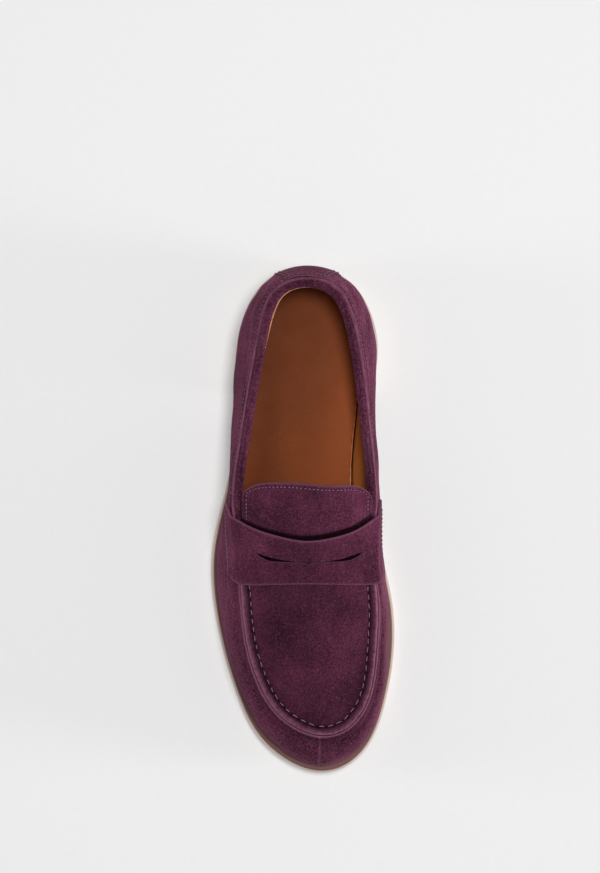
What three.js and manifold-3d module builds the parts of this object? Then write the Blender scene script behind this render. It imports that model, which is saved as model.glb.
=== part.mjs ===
// Men's suede penny loafer for the right foot, about EU 42, in millimetres with +Z up.
// The shoe stands on z = 0 with its toe towards -Y and its big-toe (medial) side towards +X.
import * as THREE from "three";
import { mergeVertices } from "three/addons/utils/BufferGeometryUtils.js";
import Module from "manifold-3d";

// ---- Driving dimensions ----
const GAP = 0.3; // clearance left between pieces that touch on the real shoe
const SUEDE = 1.3;
const STIFFENER = 0.9;
const LINING = 0.9;
const OUTSOLE = 6.6;
const MIDSOLE = 3.3;
const HEEL_SEAT = 15.6; // height of the outsole's underside over the heel
const TOE_SPRING = 9.5; // how far the tip of the outsole stands off the ground
const FLAT_FRONT = -90; // the forefoot lies flat on the ground between these two y values
const FLAT_REAR = -44;
const TOE_END = -150;
const HEEL_START = 78; // from here back the outsole is level again
const HEEL_BREAST = 73;
const TOP_PIECE = 5; // thickness of the heel's wearing layer
const TOP_PIECE_INSET = 0.8; // from the sole's edge
const HEEL_BLOCK_INSET = 0.5;
const HEEL_CHAMFER = 0.9;
const SOLE_CHAMFER = 1.2;
const WELT_INSET = 1.2; // the midsole's edge stands back from the outsole's
const WELT_CHAMFER = 0.5;
const GROOVES = 6; // across the tread, under the ball
const GROOVE_LENGTH = 70;
const GROOVE_WIDTH = 2.4;
const GROOVE_DEPTH = 1.5;
const NAIL_HEAD = 2.2; // radii of a heel nail
const NAIL_SHANK = 1;
const NAIL_CLEARANCE = 0.4;
const MARGIN = 11.5; // width of the upper's edge that is turned under the insole board
const BOARD = 2;
const SHANK_FRONT = -8;
const SHANK_REAR = 92;
const SHANK_HALF_WIDTH = 7;
const FOAM = 2.7;
const FOOTBED = 1.2;
const FOOTBED_INSET = 4.6; // from the feather line to the edge of everything inside the linings
const RIDGE = 3; // height of the hand-sewn moccasin ridge over the apron beside it
const ROLL_WIDTH = 6;
const ROLL_HEIGHT = 5.4;
const BINDING = 1.1; // thickness of the roll's leather
const STRAP = 1.6;
const BACKSTAY = 1.1;
const BACKSTAY_GAP = 0.45;
const BACKSTAY_FOOT = 0.68; // half its width at the sole, in stations
const BACKSTAY_NARROWING = 0.14; // how much of that is lost towards the collar
const THREAD = 0.42; // radius of a sewing thread
const THREAD_LIFT = 0.2; // clearance under a thread
const SADDLE_GAP = 0.6; // the strap bridges the seams under it
const QUARTER_FULLNESS = 0.04; // how far the wall bows out between bulge and shoulder, over its height
const TOE_FULLNESS = 0.14;
const TOP_SQUARENESS = 2.8; // exponent of the arch across the instep
const TONGUE_HINGE = 8; // y of the line about which the tongue's free end lifts
const TONGUE_SPLIT = 0.8;
const TONGUE_END = 22;
const TONGUE_LATERAL = -35.6;
const TONGUE_MEDIAL = 39.6;
const TONGUE_BACK = 0.9; // thickness of its leather lining

// ---- The last: 22 stations round the shoe ----
// Station 0 is the middle of the heel, then down the lateral side, 11 is the toe, and back up the
// medial side. Sole edge x, y | feather line x, y | bulge x, y, z | shoulder x, y, z.
const STATIONS = [
  [1.8, 150, 1.6, 142.2, 1.6, 146.9, 45, 2.2, 139.2, 80],
  [-25.2, 137.6, -22.6, 131.5, -25, 135, 45, -17.6, 130.6, 78.2],
  [-38.4, 108, -34.2, 106, -37.2, 107, 44, -26.4, 105, 73.4],
  [-40, 77, -36, 77, -40.2, 77, 43, -32, 75, 68.4],
  [-40.8, 45, -37.2, 45, -42, 45, 41, -37.2, 43, 64.8],
  [-47.4, 12, -42.2, 12, -44.8, 12.5, 35, -40.6, 12, 64.2],
  [-53.8, -17, -47.6, -17, -50, -17, 28, -37.4, -18, 66],
  [-53.6, -47, -48, -47, -50, -47, 25, -35.9, -46, 59.6],
  [-47.4, -79.5, -42.6, -78, -44.2, -78.5, 24.5, -33, -71, 53.2],
  [-38.4, -107.5, -33.3, -105, -34.6, -105.5, 25, -27, -92, 48.6],
  [-22.4, -134, -18.6, -127.8, -19.4, -128.8, 26, -13.4, -113.8, 45],
  [9.2, -150, 9.6, -143.4, 9.7, -144.6, 27, 10, -125.2, 43],
  [37, -137, 34, -130, 35.2, -131.2, 26, 29.6, -117.6, 44.6],
  [49.6, -107.5, 44.8, -106.3, 46.1, -106.9, 25, 39.8, -97.5, 48],
  [54.2, -79, 47.8, -79, 49, -79, 24.5, 42.8, -72.5, 52.8],
  [53.2, -49, 47.8, -49, 49.5, -49, 25, 43.4, -47, 59],
  [46.2, -18, 42.4, -18, 46.4, -18, 30, 41, -18, 66],
  [40.8, 12, 33.6, 12, 43.8, 12.5, 38, 42.6, 12, 63.6],
  [39, 45, 33.8, 45, 42, 45, 43, 40.2, 43, 64.8],
  [41.6, 77, 36.8, 77, 41.8, 77, 44, 36.4, 75, 68.4],
  [44.2, 107, 37.2, 106, 40.8, 107, 44, 31.6, 105, 73.4],
  [31, 138, 26.6, 131.5, 29, 135.2, 45, 22, 130.6, 78.2],
];
const TOE = 11;
const TURN = STATIONS.length;
const [SOLE_EDGE, FOOT, BULGE, SHOULDER] = [0, 2, 4, 7]; // first column of each group

// Height of the middle of the instep, from toe to tongue.
const TOP_LINE = [
  [-126, 43.4],
  [-100, 50.4],
  [-80, 56],
  [-40, 69],
  [0, 81.8],
  [24, 88.2],
];

// The strap is laid out across the instep: q is 0 in the middle, 1 on the shoulder line and
// WING at the end of the wing that runs down the wall.
const WING = 1.4;
const WING_END = 0.78; // where on the wall the wing ends, 0 at the feather line and 1 at the shoulder
const STRAP_REAR = [
  [-1.4, 11],
  [-1, 3.4],
  [-0.72, -2.6],
  [-0.4, -6.9],
  [0, -9.8],
  [0.4, -7.8],
  [0.75, -2.8],
  [1, 4],
  [1.4, 12.6],
];
const STRAP_FRONT = [
  [-1.4, -30],
  [-1, -35],
  [-0.6, -35.2],
  [0.6, -35.2],
  [1, -35],
  [1.4, -30.6],
];
// The penny slit: a smile cut across the strap, [x, y] along its middle and its half width.
const SLIT = [
  [-27, -16.6, 0.15],
  [-22, -19.2, 1],
  [-14, -21, 0.7],
  [2, -22.2, 0.45],
  [18, -21.2, 0.7],
  [28, -19.2, 1],
  [33.6, -16.6, 0.15],
];

const NAILS = [
  [0, 134],
  [-24, 117],
  [28, 117],
  [-25, 91],
  [29, 91],
];

// ---- Curves ----

// A closed curve through rows of numbers at whole parameters, smooth to the second derivative.
function closedCurve(rows) {
  const n = rows.length;
  const bend = rows.map((row) => row.map(() => 0));
  for (let pass = 0; pass < 40; pass++)
    rows.forEach((row, i) => {
      const before = (i + n - 1) % n;
      const after = (i + 1) % n;
      row.forEach((value, k) => {
        const kink = rows[before][k] - 2 * value + rows[after][k];
        bend[i][k] = (6 * kink - bend[before][k] - bend[after][k]) / 4;
      });
    });
  return (u) => {
    const w = ((u % n) + n) % n;
    const i = Math.floor(w);
    const j = (i + 1) % n;
    const t = w - i;
    const s = 1 - t;
    return rows[i].map(
      (value, k) =>
        s * value + t * rows[j][k] + ((s ** 3 - s) * bend[i][k] + (t ** 3 - t) * bend[j][k]) / 6,
    );
  };
}

// A smooth function through [x, y] knots, continued in a straight line past both ends.
function functionThrough(knots) {
  const n = knots.length;
  const bend = knots.map(() => 0);
  const step = (i) => knots[i + 1][0] - knots[i][0];
  const slope = (i) => (knots[i + 1][1] - knots[i][1]) / step(i);
  for (let pass = 0; pass < 60; pass++)
    for (let i = 1; i < n - 1; i++) {
      const pull = step(i - 1) * bend[i - 1] + step(i) * bend[i + 1];
      bend[i] = (6 * (slope(i) - slope(i - 1)) - pull) / (2 * (step(i - 1) + step(i)));
    }
  return (x) => {
    let i = 0;
    while (i < n - 2 && x > knots[i + 1][0]) i++;
    const d = step(i);
    const t = THREE.MathUtils.clamp((x - knots[i][0]) / d, 0, 1);
    const s = 1 - t;
    const curve = ((s ** 3 - s) * bend[i] + (t ** 3 - t) * bend[i + 1]) * ((d * d) / 6);
    const past = x - knots[i][0] - t * d;
    return s * knots[i][1] + t * knots[i + 1][1] + curve + past * slope(i);
  };
}

const range = (from, to, steps) =>
  Array.from({ length: steps + 1 }, (_, i) => from + ((to - from) * i) / steps);

// All layers of the upper share one grid of stations and heights, so their facets stay parallel.
const STEPS_PER_STATION = 3;
const HEIGHTS = [0.1, 0.2, 0.35, 0.5, 0.65, 0.8, 0.9];
function stations(from, to) {
  const inner = [];
  for (let k = Math.ceil(from * STEPS_PER_STATION + 0.2); k < to * STEPS_PER_STATION - 0.2; k++)
    inner.push(k / STEPS_PER_STATION);
  return [from, ...inner, to];
}

// ---- Surfaces of the last ----
const station = closedCurve(STATIONS);
const topLine = functionThrough(TOP_LINE);
const strapRear = functionThrough(STRAP_REAR);
const strapFront = functionThrough(STRAP_FRONT);

// Underside of the outsole: flat under the ball, sprung at the toe and level over the heel.
function underside(y) {
  if (y < FLAT_FRONT) return TOE_SPRING * ((FLAT_FRONT - y) / (FLAT_FRONT - TOE_END)) ** 1.8;
  return HEEL_SEAT * THREE.MathUtils.smoothstep(y, FLAT_REAR, HEEL_START);
}
const midsoleBase = (y) => underside(y) + OUTSOLE + GAP;
const feather = (y) => midsoleBase(y) + MIDSOLE + GAP; // the upper's lowest face

const edgeNormal = (u, column) => {
  const a = station(u - 0.05);
  const b = station(u + 0.05);
  const dx = b[column] - a[column];
  const dy = b[column + 1] - a[column + 1];
  return new THREE.Vector2(dy, -dx).normalize();
};

// A point inside the sole's edge, the feather line or the shoulder line, seen from above.
function inset(u, column, distance) {
  const row = station(u);
  const out = edgeNormal(u, column);
  return new THREE.Vector2(row[column] - out.x * distance, row[column + 1] - out.y * distance);
}

// The upper's outer face: h is 0 at the feather line and 1 at the shoulder.
const WALL_KNOTS = [0, 0.3, 0.65, 1];
function wallFace(u, h) {
  const row = station(u);
  const foot = new THREE.Vector3(row[FOOT], row[FOOT + 1], feather(row[FOOT + 1]));
  const bulge = new THREE.Vector3(...row.slice(BULGE, BULGE + 3));
  const shoulder = new THREE.Vector3(...row.slice(SHOULDER));
  const out = edgeNormal(u, FOOT);
  const rise = shoulder.clone().sub(bulge);
  const lean = -(rise.x * out.x + rise.y * out.y);
  const forward = THREE.MathUtils.smoothstep(-bulge.y, 20, 115); // 0 at the waist, 1 at the toe
  const fullness = THREE.MathUtils.lerp(QUARTER_FULLNESS, TOE_FULLNESS, forward);
  const bow = new THREE.Vector3(rise.z * out.x, rise.z * out.y, lean).multiplyScalar(fullness);
  const middle = bulge.clone().add(shoulder).multiplyScalar(0.5).add(bow);
  const point = new THREE.Vector3();
  [foot, bulge, middle, shoulder].forEach((knot, i) => {
    const weight = WALL_KNOTS.reduce(
      (w, other, j) => (i === j ? w : (w * (h - other)) / (WALL_KNOTS[i] - other)),
      1,
    );
    point.addScaledVector(knot, weight);
  });
  return point;
}

const acrossAndUp = (surface, a, b, da, db) => {
  const along = surface(a + da, b).sub(surface(a - da, b));
  const up = surface(a, b + db).sub(surface(a, b - db));
  return along.cross(up).normalize();
};

// A point of the wall, a given depth behind its outer face.
const wall = (u, h, depth = 0) =>
  wallFace(u, h).addScaledVector(acrossAndUp(wallFace, u, h, 0.04, 0.02), -depth);

// The station between rear and front at which a column of the table passes y.
function stationAt(column, y, rear, front) {
  for (let i = 0; i < 30; i++) {
    const middle = (rear + front) / 2;
    if (station(middle)[column] > y) rear = middle;
    else front = middle;
  }
  return (rear + front) / 2;
}
const shoulderStation = (y, medial) =>
  stationAt(SHOULDER + 1, y, ...(medial ? [TURN - 2, TOE + 1] : [2, TOE - 1]));

// The instep and the strap's wings: q runs across them as it does along the strap.
function saddleFace(q, y) {
  const side = Math.abs(q) > 1;
  if (side) {
    const h = 1 - ((Math.abs(q) - 1) / (WING - 1)) * (1 - WING_END);
    return wallFace(shoulderStation(y, q > 0), h);
  }
  const lateral = station(shoulderStation(y, false)).slice(SHOULDER);
  const medial = station(shoulderStation(y, true)).slice(SHOULDER);
  const [x, , edge] = lateral.map((value, k) =>
    THREE.MathUtils.lerp(value, medial[k], (q + 1) / 2),
  );
  const arch = 1 - Math.abs(q) ** TOP_SQUARENESS;
  return new THREE.Vector3(x, y, edge + (topLine(y) - edge) * arch);
}
const saddle = (q, y, depth = 0) =>
  saddleFace(q, y).addScaledVector(acrossAndUp(saddleFace, q, y, 0.05, 0.5), -depth);

// ---- Solids ----

const finished = (positions) => {
  const geometry = new THREE.BufferGeometry();
  geometry.setAttribute("position", new THREE.Float32BufferAttribute(positions, 3));
  return mergeVertices(geometry, 1e-3);
};

// A sheet with thickness: two grids of points, joined round their borders. A hoop closes on
// itself along its rows, and a folded sheet meets itself along the last column.
function thickSheet(outer, inner, { hoop = false, folded = false } = {}) {
  const positions = [];
  const rows = outer.length;
  const columns = outer[0].length;
  const quad = (a, b, c, d) => {
    for (const p of [a, b, c, a, c, d]) positions.push(p.x, p.y, p.z);
  };
  const next = (j) => (j + 1) % columns;
  for (let i = 0; i + 1 < rows; i++)
    for (let j = 0; j < (hoop ? columns : columns - 1); j++) {
      quad(outer[i][j], outer[i + 1][j], outer[i + 1][next(j)], outer[i][next(j)]);
      quad(inner[i][j], inner[i][next(j)], inner[i + 1][next(j)], inner[i + 1][j]);
    }
  if (!hoop)
    for (let i = 0; i + 1 < rows; i++) {
      quad(outer[i][0], inner[i][0], inner[i + 1][0], outer[i + 1][0]);
      const last = columns - 1;
      if (!folded) quad(outer[i][last], outer[i + 1][last], inner[i + 1][last], inner[i][last]);
    }
  const end = rows - 1;
  for (let j = 0; j < (hoop ? columns : columns - 1); j++) {
    quad(outer[0][j], outer[0][next(j)], inner[0][next(j)], inner[0][j]);
    quad(outer[end][j], inner[end][j], inner[end][next(j)], outer[end][next(j)]);
  }
  return finished(positions);
}

// A plate between mirrored stations: halves holds the stations of the lateral side, and each
// level gives the rim's points from the bottom face to the top face.
function plate(halves, levels) {
  const positions = [];
  const triangle = (...points) => points.forEach((p) => positions.push(p.x, p.y, p.z));
  const rims = levels.map((level) => ({
    left: halves.map((u) => level(u)),
    right: halves.map((u) => level(TURN - u)),
  }));
  const ladder = ({ left, right }, up) => {
    for (let i = 0; i + 1 < halves.length; i++) {
      const [a, b, c, d] = [left[i], left[i + 1], right[i + 1], right[i]];
      const closesAt = (p, q) => p.distanceTo(q) < 1e-3;
      const order = up ? (x, y, z) => triangle(x, y, z) : (x, y, z) => triangle(x, z, y);
      if (!closesAt(b, c)) order(a, b, c);
      if (!closesAt(a, d)) order(a, closesAt(b, c) ? b : c, d);
    }
  };
  ladder(rims[0], false);
  ladder(rims.at(-1), true);
  const loops = rims.map(({ left, right }) => [...left, ...right.slice().reverse()]);
  for (let k = 0; k + 1 < loops.length; k++) {
    const [low, high] = [loops[k], loops[k + 1]];
    low.forEach((point, i) => {
      const j = (i + 1) % low.length;
      if (point.distanceTo(low[j]) < 1e-3) return;
      triangle(point, low[j], high[j]);
      triangle(point, high[j], high[i]);
    });
  }
  return finished(positions);
}

const rim = (column, distance, height) => (u) => {
  const p = inset(u, column, distance);
  return new THREE.Vector3(p.x, p.y, height(p.y));
};

// A round cord through points. Its section is a polygon, so it stays light.
function cord(points, radius, steps, sides = 5) {
  const shape = new THREE.Shape(
    range(0, Math.PI * 2, sides)
      .slice(0, sides)
      .map((a) => new THREE.Vector2(radius * Math.cos(a), radius * Math.sin(a))),
  );
  const path = new THREE.CatmullRomCurve3(points);
  return new THREE.ExtrudeGeometry(shape, { steps, bevelEnabled: false, extrudePath: path });
}

const wasm = await Module();
wasm.setup();

function toSolid(geometry) {
  const bare = geometry.clone();
  bare.deleteAttribute("normal");
  bare.deleteAttribute("uv");
  const merged = mergeVertices(bare, 1e-3);
  return new wasm.Manifold(
    new wasm.Mesh({
      numProp: 3,
      vertProperties: merged.attributes.position.array,
      triVerts: new Uint32Array(merged.index.array),
    }),
  );
}

function cutFrom(geometry, tools) {
  const solid = tools.reduce((left, tool) => left.subtract(toSolid(tool)), toSolid(geometry));
  const mesh = solid.getMesh();
  const cut = new THREE.BufferGeometry();
  cut.setAttribute("position", new THREE.BufferAttribute(mesh.vertProperties, 3));
  cut.setIndex(new THREE.BufferAttribute(mesh.triVerts, 1));
  return cut;
}

// An upright cylinder or stepped pin: [radius, z] from its foot on the axis to its top.
const turned = (profile, x, y, sides = 10) =>
  new THREE.LatheGeometry(
    profile.map(([r, z]) => new THREE.Vector2(r, z)),
    sides,
  )
    .rotateX(Math.PI / 2)
    .translate(x, y, 0);

// ---- Sole unit ----
const FULL = range(0, TOE, 30);

function outsole() {
  const lift = (extra) => (y) => underside(y) + extra;
  const body = plate(FULL, [
    rim(SOLE_EDGE, SOLE_CHAMFER, lift(0)),
    rim(SOLE_EDGE, 0.2, lift(SOLE_CHAMFER)),
    rim(SOLE_EDGE, 0, lift(OUTSOLE - 1)),
    rim(SOLE_EDGE, 0.6, lift(OUTSOLE)),
  ]);
  const margin = 6; // of flat tread left at either end of the grooves
  const grooves = range(FLAT_REAR - margin, FLAT_FRONT + margin, GROOVES - 1).map((y) =>
    new THREE.BoxGeometry(GROOVE_LENGTH, GROOVE_WIDTH, 2 * GROOVE_DEPTH).translate(2, y, 0),
  );
  return cutFrom(body, grooves);
}

const midsole = () =>
  plate(FULL, [
    rim(SOLE_EDGE, WELT_INSET + WELT_CHAMFER, midsoleBase),
    rim(SOLE_EDGE, WELT_INSET, (y) => midsoleBase(y) + WELT_CHAMFER),
    rim(SOLE_EDGE, WELT_INSET, (y) => midsoleBase(y) + MIDSOLE - WELT_CHAMFER),
    rim(SOLE_EDGE, WELT_INSET + WELT_CHAMFER, (y) => midsoleBase(y) + MIDSOLE),
  ]);

// The heel's parts end in a straight breast: the last station is where the edge crosses it.
function heelPlate(bottom, top, distance) {
  const level = (z, d) => (u) => {
    const p = inset(u, SOLE_EDGE, d);
    return new THREE.Vector3(p.x, Math.max(p.y, HEEL_BREAST), z);
  };
  return plate(range(0, stationAt(SOLE_EDGE + 1, HEEL_BREAST, 2, 4), 12), [
    level(bottom, distance + HEEL_CHAMFER),
    level(bottom + HEEL_CHAMFER, distance),
    level(top, distance),
  ]);
}

// The nails' heads are sunk into the top piece and their shanks reach into the block.
const HEAD_HOLE = NAIL_HEAD + NAIL_CLEARANCE;
const SHANK_HOLE = NAIL_SHANK + NAIL_CLEARANCE;
const [HEAD_BOTTOM, HEAD_TOP, SHANK_END, NAIL_TIP] = [0.6, 1.8, 11.4, 12.2];

const heelTopPiece = () =>
  cutFrom(
    heelPlate(0, TOP_PIECE, TOP_PIECE_INSET),
    NAILS.map(([x, y]) => {
      const step = HEAD_TOP + NAIL_CLEARANCE;
      const past = TOP_PIECE + 1;
      const profile = [[0, -1], [HEAD_HOLE, -1], [HEAD_HOLE, step], [SHANK_HOLE, step]];
      return turned([...profile, [SHANK_HOLE, past], [0, past]], x, y);
    }),
  );

const heelBlock = () =>
  cutFrom(
    heelPlate(TOP_PIECE + GAP, HEEL_SEAT - GAP, HEEL_BLOCK_INSET),
    NAILS.map(([x, y]) => {
      const [low, high] = [TOP_PIECE - 1, NAIL_TIP + NAIL_CLEARANCE];
      return turned([[0, low], [SHANK_HOLE, low], [SHANK_HOLE, high], [0, high]], x, y);
    }),
  );

function heelNail(x, y) {
  const head = [[0, HEAD_BOTTOM], [NAIL_HEAD, HEAD_BOTTOM], [NAIL_HEAD, HEAD_TOP]];
  const shaft = [[NAIL_SHANK, HEAD_TOP], [NAIL_SHANK, SHANK_END], [0, NAIL_TIP]];
  return turned([...head, ...shaft], x, y, 8);
}

// Under the insole board, inside the turned-in margin of the upper.
const corkFiller = () =>
  plate(
    range(6, TOE, 14),
    [0, SUEDE].map((extra) => rim(FOOT, MARGIN + 1, (y) => feather(y) + extra)),
  );

function shank() {
  const centre = (y) => 0.03 * y - 1; // it follows the waist's slant
  const rows = (lift) =>
    range(SHANK_FRONT, SHANK_REAR, 12).map((y) =>
      [-SHANK_HALF_WIDTH, SHANK_HALF_WIDTH].map(
        (x) => new THREE.Vector3(x + centre(y), y, feather(y) + lift),
      ),
    );
  return thickSheet(rows(0.1), rows(SUEDE - 0.1));
}

const boardBase = (y) => feather(y) + SUEDE + GAP;
const foamBase = (y) => boardBase(y) + BOARD + GAP;
const footbedBase = (y) => foamBase(y) + FOAM + GAP;
const slice = (base, thickness, distance) =>
  plate(FULL, [
    rim(FOOT, distance, base),
    rim(FOOT, distance, (y) => base(y) + thickness),
  ]);

// ---- Upper ----
const REAR_TOP = 0.93; // the wall ends here under the collar roll
const LINING_TOP = 0.84; // in front the linings stop short of the seam between wall and apron
const COLLAR_END = 5.15; // the roll runs from this station round the heel to its mirror

// How high the wall's pieces reach: to the shoulder in front and to the roll behind.
function wallTop(u) {
  return THREE.MathUtils.lerp(REAR_TOP, 1, behindToFront(u));
}
// 0 behind the end of the collar roll and 1 in front of it.
const behindToFront = (u) =>
  THREE.MathUtils.smoothstep(Math.min(Math.abs(u), TURN - u), COLLAR_END, COLLAR_END + 0.25);
const liningTop = (u) => THREE.MathUtils.lerp(REAR_TOP, LINING_TOP, behindToFront(u));

// The suede side of one half, with its margin turned under the insole board.
function upperSide(us) {
  const flat = (u, distance, lift) => {
    const p = inset(u, FOOT, distance);
    return new THREE.Vector3(p.x, p.y, feather(p.y) + lift);
  };
  const outer = us.map((u) => [
    flat(u, MARGIN, 0),
    flat(u, 0.6, 0),
    ...[...HEIGHTS, wallTop(u)].map((h) => wall(u, h)),
  ]);
  const inner = us.map((u) => [
    flat(u, MARGIN, SUEDE),
    flat(u, SUEDE + 0.4, SUEDE),
    ...[...HEIGHTS, wallTop(u)].map((h) => wall(u, h, SUEDE)),
  ]);
  return thickSheet(outer, inner);
}

// A layer of the wall behind the suede: its top is a height, or a height for each station.
function wallLayer(from, to, top, depth, thickness) {
  const topAt = typeof top === "function" ? top : () => top;
  const us = stations(from, to);
  const lowestTop = Math.min(...us.map(topAt));
  const heights = HEIGHTS.filter((h) => h < lowestTop - 0.03);
  const rows = (d) => us.map((u) => [...heights, topAt(u)].map((h) => wall(u, h, d)));
  return thickSheet(rows(depth), rows(depth + thickness));
}

// The patch over the seam at the heel: it narrows a little towards the collar.
const backstayHalf = (h) =>
  BACKSTAY_FOOT - BACKSTAY_NARROWING * THREE.MathUtils.smoothstep(h, 0.35, 0.9);
function backstay() {
  const rows = (d) =>
    range(-1, 1, 4).map((t) => [0.03, ...HEIGHTS].map((h) => wall(t * backstayHalf(h), h, d)));
  return thickSheet(rows(-BACKSTAY_GAP - BACKSTAY), rows(-BACKSTAY_GAP));
}

// The apron fans out from a spine: r is 0 on the spine and 1 at the ridge.
const APRON_REAR = 6.15; // station at which the apron ends under the strap
const APRON_INSET = SUEDE + GAP + 0.5; // from the wall's outer face
const SPINE_TOE = [10, -104]; // where the spine ends in the toe, x and y
function apronPoint(u, r, depth = 0, rimLift = 0) {
  const row = station(u);
  const share = (Math.abs(u - TOE) / (TOE - APRON_REAR)) ** 1.15;
  const opposite = station(TURN - u);
  const middle = (row[SHOULDER] + opposite[SHOULDER]) / 2;
  const spineX = THREE.MathUtils.lerp(SPINE_TOE[0], middle, Math.min(1, share * 2));
  const spineY = THREE.MathUtils.lerp(SPINE_TOE[1], station(APRON_REAR)[SHOULDER + 1], share);
  const edge = inset(u, SHOULDER, APRON_INSET);
  const x = THREE.MathUtils.lerp(spineX, edge.x, r);
  const y = THREE.MathUtils.lerp(spineY, edge.y, r);
  const ridge = RIDGE * ridgeShare(row[SHOULDER + 1]);
  const foot = row[SHOULDER + 2] - ridge;
  const z = foot + (topLine(y) - foot) * (1 - r ** TOP_SQUARENESS);
  return new THREE.Vector3(x, y, z - depth + rimLift * ridge);
}

// The ridge stands up in front of the strap and sinks to a flat seam under it.
const ridgeShare = (y) => 1 - THREE.MathUtils.smoothstep(y, -42, -34);

// The apron's section as [r, share of the ridge's height], from its rim to its spine.
const APRON_SECTION = [
  [1, 0.93],
  [0.965, 0.93],
  [0.925, 0.05],
  [0.78, 0],
  [0.5, 0],
  [0, 0],
];

function apron() {
  const us = stations(APRON_REAR, TURN - APRON_REAR);
  const top = us.map((u) => APRON_SECTION.map(([r, lift]) => apronPoint(u, r, 0, lift)));
  const under = us.map((u) => APRON_SECTION.map(([r]) => apronPoint(u, r, SUEDE)));
  return thickSheet(top, under, { folded: true });
}

function apronLining() {
  const us = stations(APRON_REAR, TURN - APRON_REAR);
  const radii = APRON_SECTION.slice(2).map(([r]) => r); // it stops at the foot of the ridge
  const rows = (depth) => us.map((u) => radii.map((r) => apronPoint(u, r, depth)));
  const depth = SUEDE + GAP;
  return thickSheet(rows(depth), rows(depth + LINING), { folded: true });
}

function strap() {
  const across = range(-WING, WING, 28);
  const rows = (depth) =>
    across.map((q) => range(strapFront(q), strapRear(q), 5).map((y) => saddle(q, y, depth)));
  const band = thickSheet(rows(-SADDLE_GAP - STRAP), rows(-SADDLE_GAP));
  const upperEdge = SLIT.map(([x, y, half]) => new THREE.Vector2(x, y + half));
  const lowerEdge = SLIT.map(([x, y, half]) => new THREE.Vector2(x, y - half)).reverse();
  const smooth = (points) => new THREE.SplineCurve(points).getPoints(12);
  const outline = new THREE.Shape([...smooth(upperEdge), ...smooth(lowerEdge)]);
  const [low, high] = [60, 100]; // well below and above the strap at the slit
  const cutter = new THREE.ExtrudeGeometry(outline, { depth: high - low, bevelEnabled: false });
  return cutFrom(band, [cutter.translate(0, 0, low)]);
}

// ---- Tongue ----

// The tongue lies on the instep surface. t runs from 0 on its lateral edge to 1 on its medial one.
// Under the strap it reaches nearly to the shoulder line, and past it it narrows to its free end.
const TONGUE_INSIDE = 2;
const TONGUE_NARROWS = [-8, 3]; // between these two y values
const TONGUE_OVER_ROLL = 3; // how far its edges rise to lie over the collar roll
const ROLL_FACES = [0.78, 0.95]; // share of the way to the shoulder over which they rise
const ROLL_BEGINS = [3.5, 8]; // and the y values between which they start to
function tonguePoint(t, y, depth = 0) {
  const lateral = station(shoulderStation(y, false))[SHOULDER];
  const medial = station(shoulderStation(y, true))[SHOULDER];
  const free = THREE.MathUtils.smoothstep(y, ...TONGUE_NARROWS);
  const left = THREE.MathUtils.lerp(lateral + TONGUE_INSIDE, TONGUE_LATERAL, free);
  const right = THREE.MathUtils.lerp(medial - TONGUE_INSIDE, TONGUE_MEDIAL, free);
  const x = THREE.MathUtils.lerp(left, right, t);
  const q = (2 * (x - lateral)) / (medial - lateral) - 1;
  const point = saddle(q, y, depth);
  const edge = THREE.MathUtils.smoothstep(Math.abs(q), ...ROLL_FACES);
  point.z += TONGUE_OVER_ROLL * edge * THREE.MathUtils.smoothstep(y, ...ROLL_BEGINS);
  return point;
}

// Rear edge of the tongue: a little shorter on its medial side, with rounded corners.
const TONGUE_SLANT = 1.2;
const TONGUE_CORNER = 9;
const CORNER_SHARE = 0.3; // of half the tongue's width
function tongueEnd(t, shorter = 0) {
  const across = 2 * t - 1;
  const corner = Math.max(0, Math.abs(across) - 1 + CORNER_SHARE) / CORNER_SHARE;
  return TONGUE_END - shorter - TONGUE_SLANT * across - TONGUE_CORNER * corner ** 2;
}

function tongueLayer(from, to, depth, thickness) {
  const ts = range(0.01, 0.99, 22);
  const rows = (d) => ts.map((t) => range(from(t), to(t), 3).map((y) => tonguePoint(t, y, d)));
  return thickSheet(rows(depth), rows(depth + thickness));
}

const flapStart = () => TONGUE_HINGE + TONGUE_SPLIT / 2;
const tongueBase = () =>
  tongueLayer(
    () => station(APRON_REAR)[SHOULDER + 1] + 1.6, // just behind the apron's rear edge
    () => TONGUE_HINGE - TONGUE_SPLIT / 2,
    0,
    SUEDE + TONGUE_BACK,
  );
const tongueFlap = () => tongueLayer(flapStart, (t) => tongueEnd(t), 0, SUEDE);
const tongueFlapLining = () =>
  tongueLayer(flapStart, (t) => tongueEnd(t, 0.4), SUEDE + GAP, TONGUE_BACK);

// ---- Collar ----

function rollCentre(u) {
  const p = inset(u, SHOULDER, ROLL_WIDTH / 2);
  return new THREE.Vector3(p.x, p.y, station(u)[SHOULDER + 2]);
}

const ROLL_SIDES = 10;
function collarBinding() {
  const angles = range(0, Math.PI * 2, ROLL_SIDES).slice(0, ROLL_SIDES);
  const rows = (shrink) =>
    stations(-COLLAR_END, COLLAR_END).map((u) => {
      const centre = rollCentre(u);
      const out = edgeNormal(u, SHOULDER);
      return angles.map((angle) => {
        const shift = Math.cos(angle) * (ROLL_WIDTH / 2 - shrink);
        const rise = Math.sin(angle) * (ROLL_HEIGHT / 2 - shrink);
        return centre.clone().add(new THREE.Vector3(out.x * shift, out.y * shift, rise));
      });
    });
  return thickSheet(rows(0), rows(BINDING), { hoop: true });
}

function collarFoam() {
  const centres = range(-COLLAR_END + 0.02, COLLAR_END - 0.02, 34).map(rollCentre);
  return cord(centres, ROLL_HEIGHT / 2 - BINDING - GAP, 34, 8);
}

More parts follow.
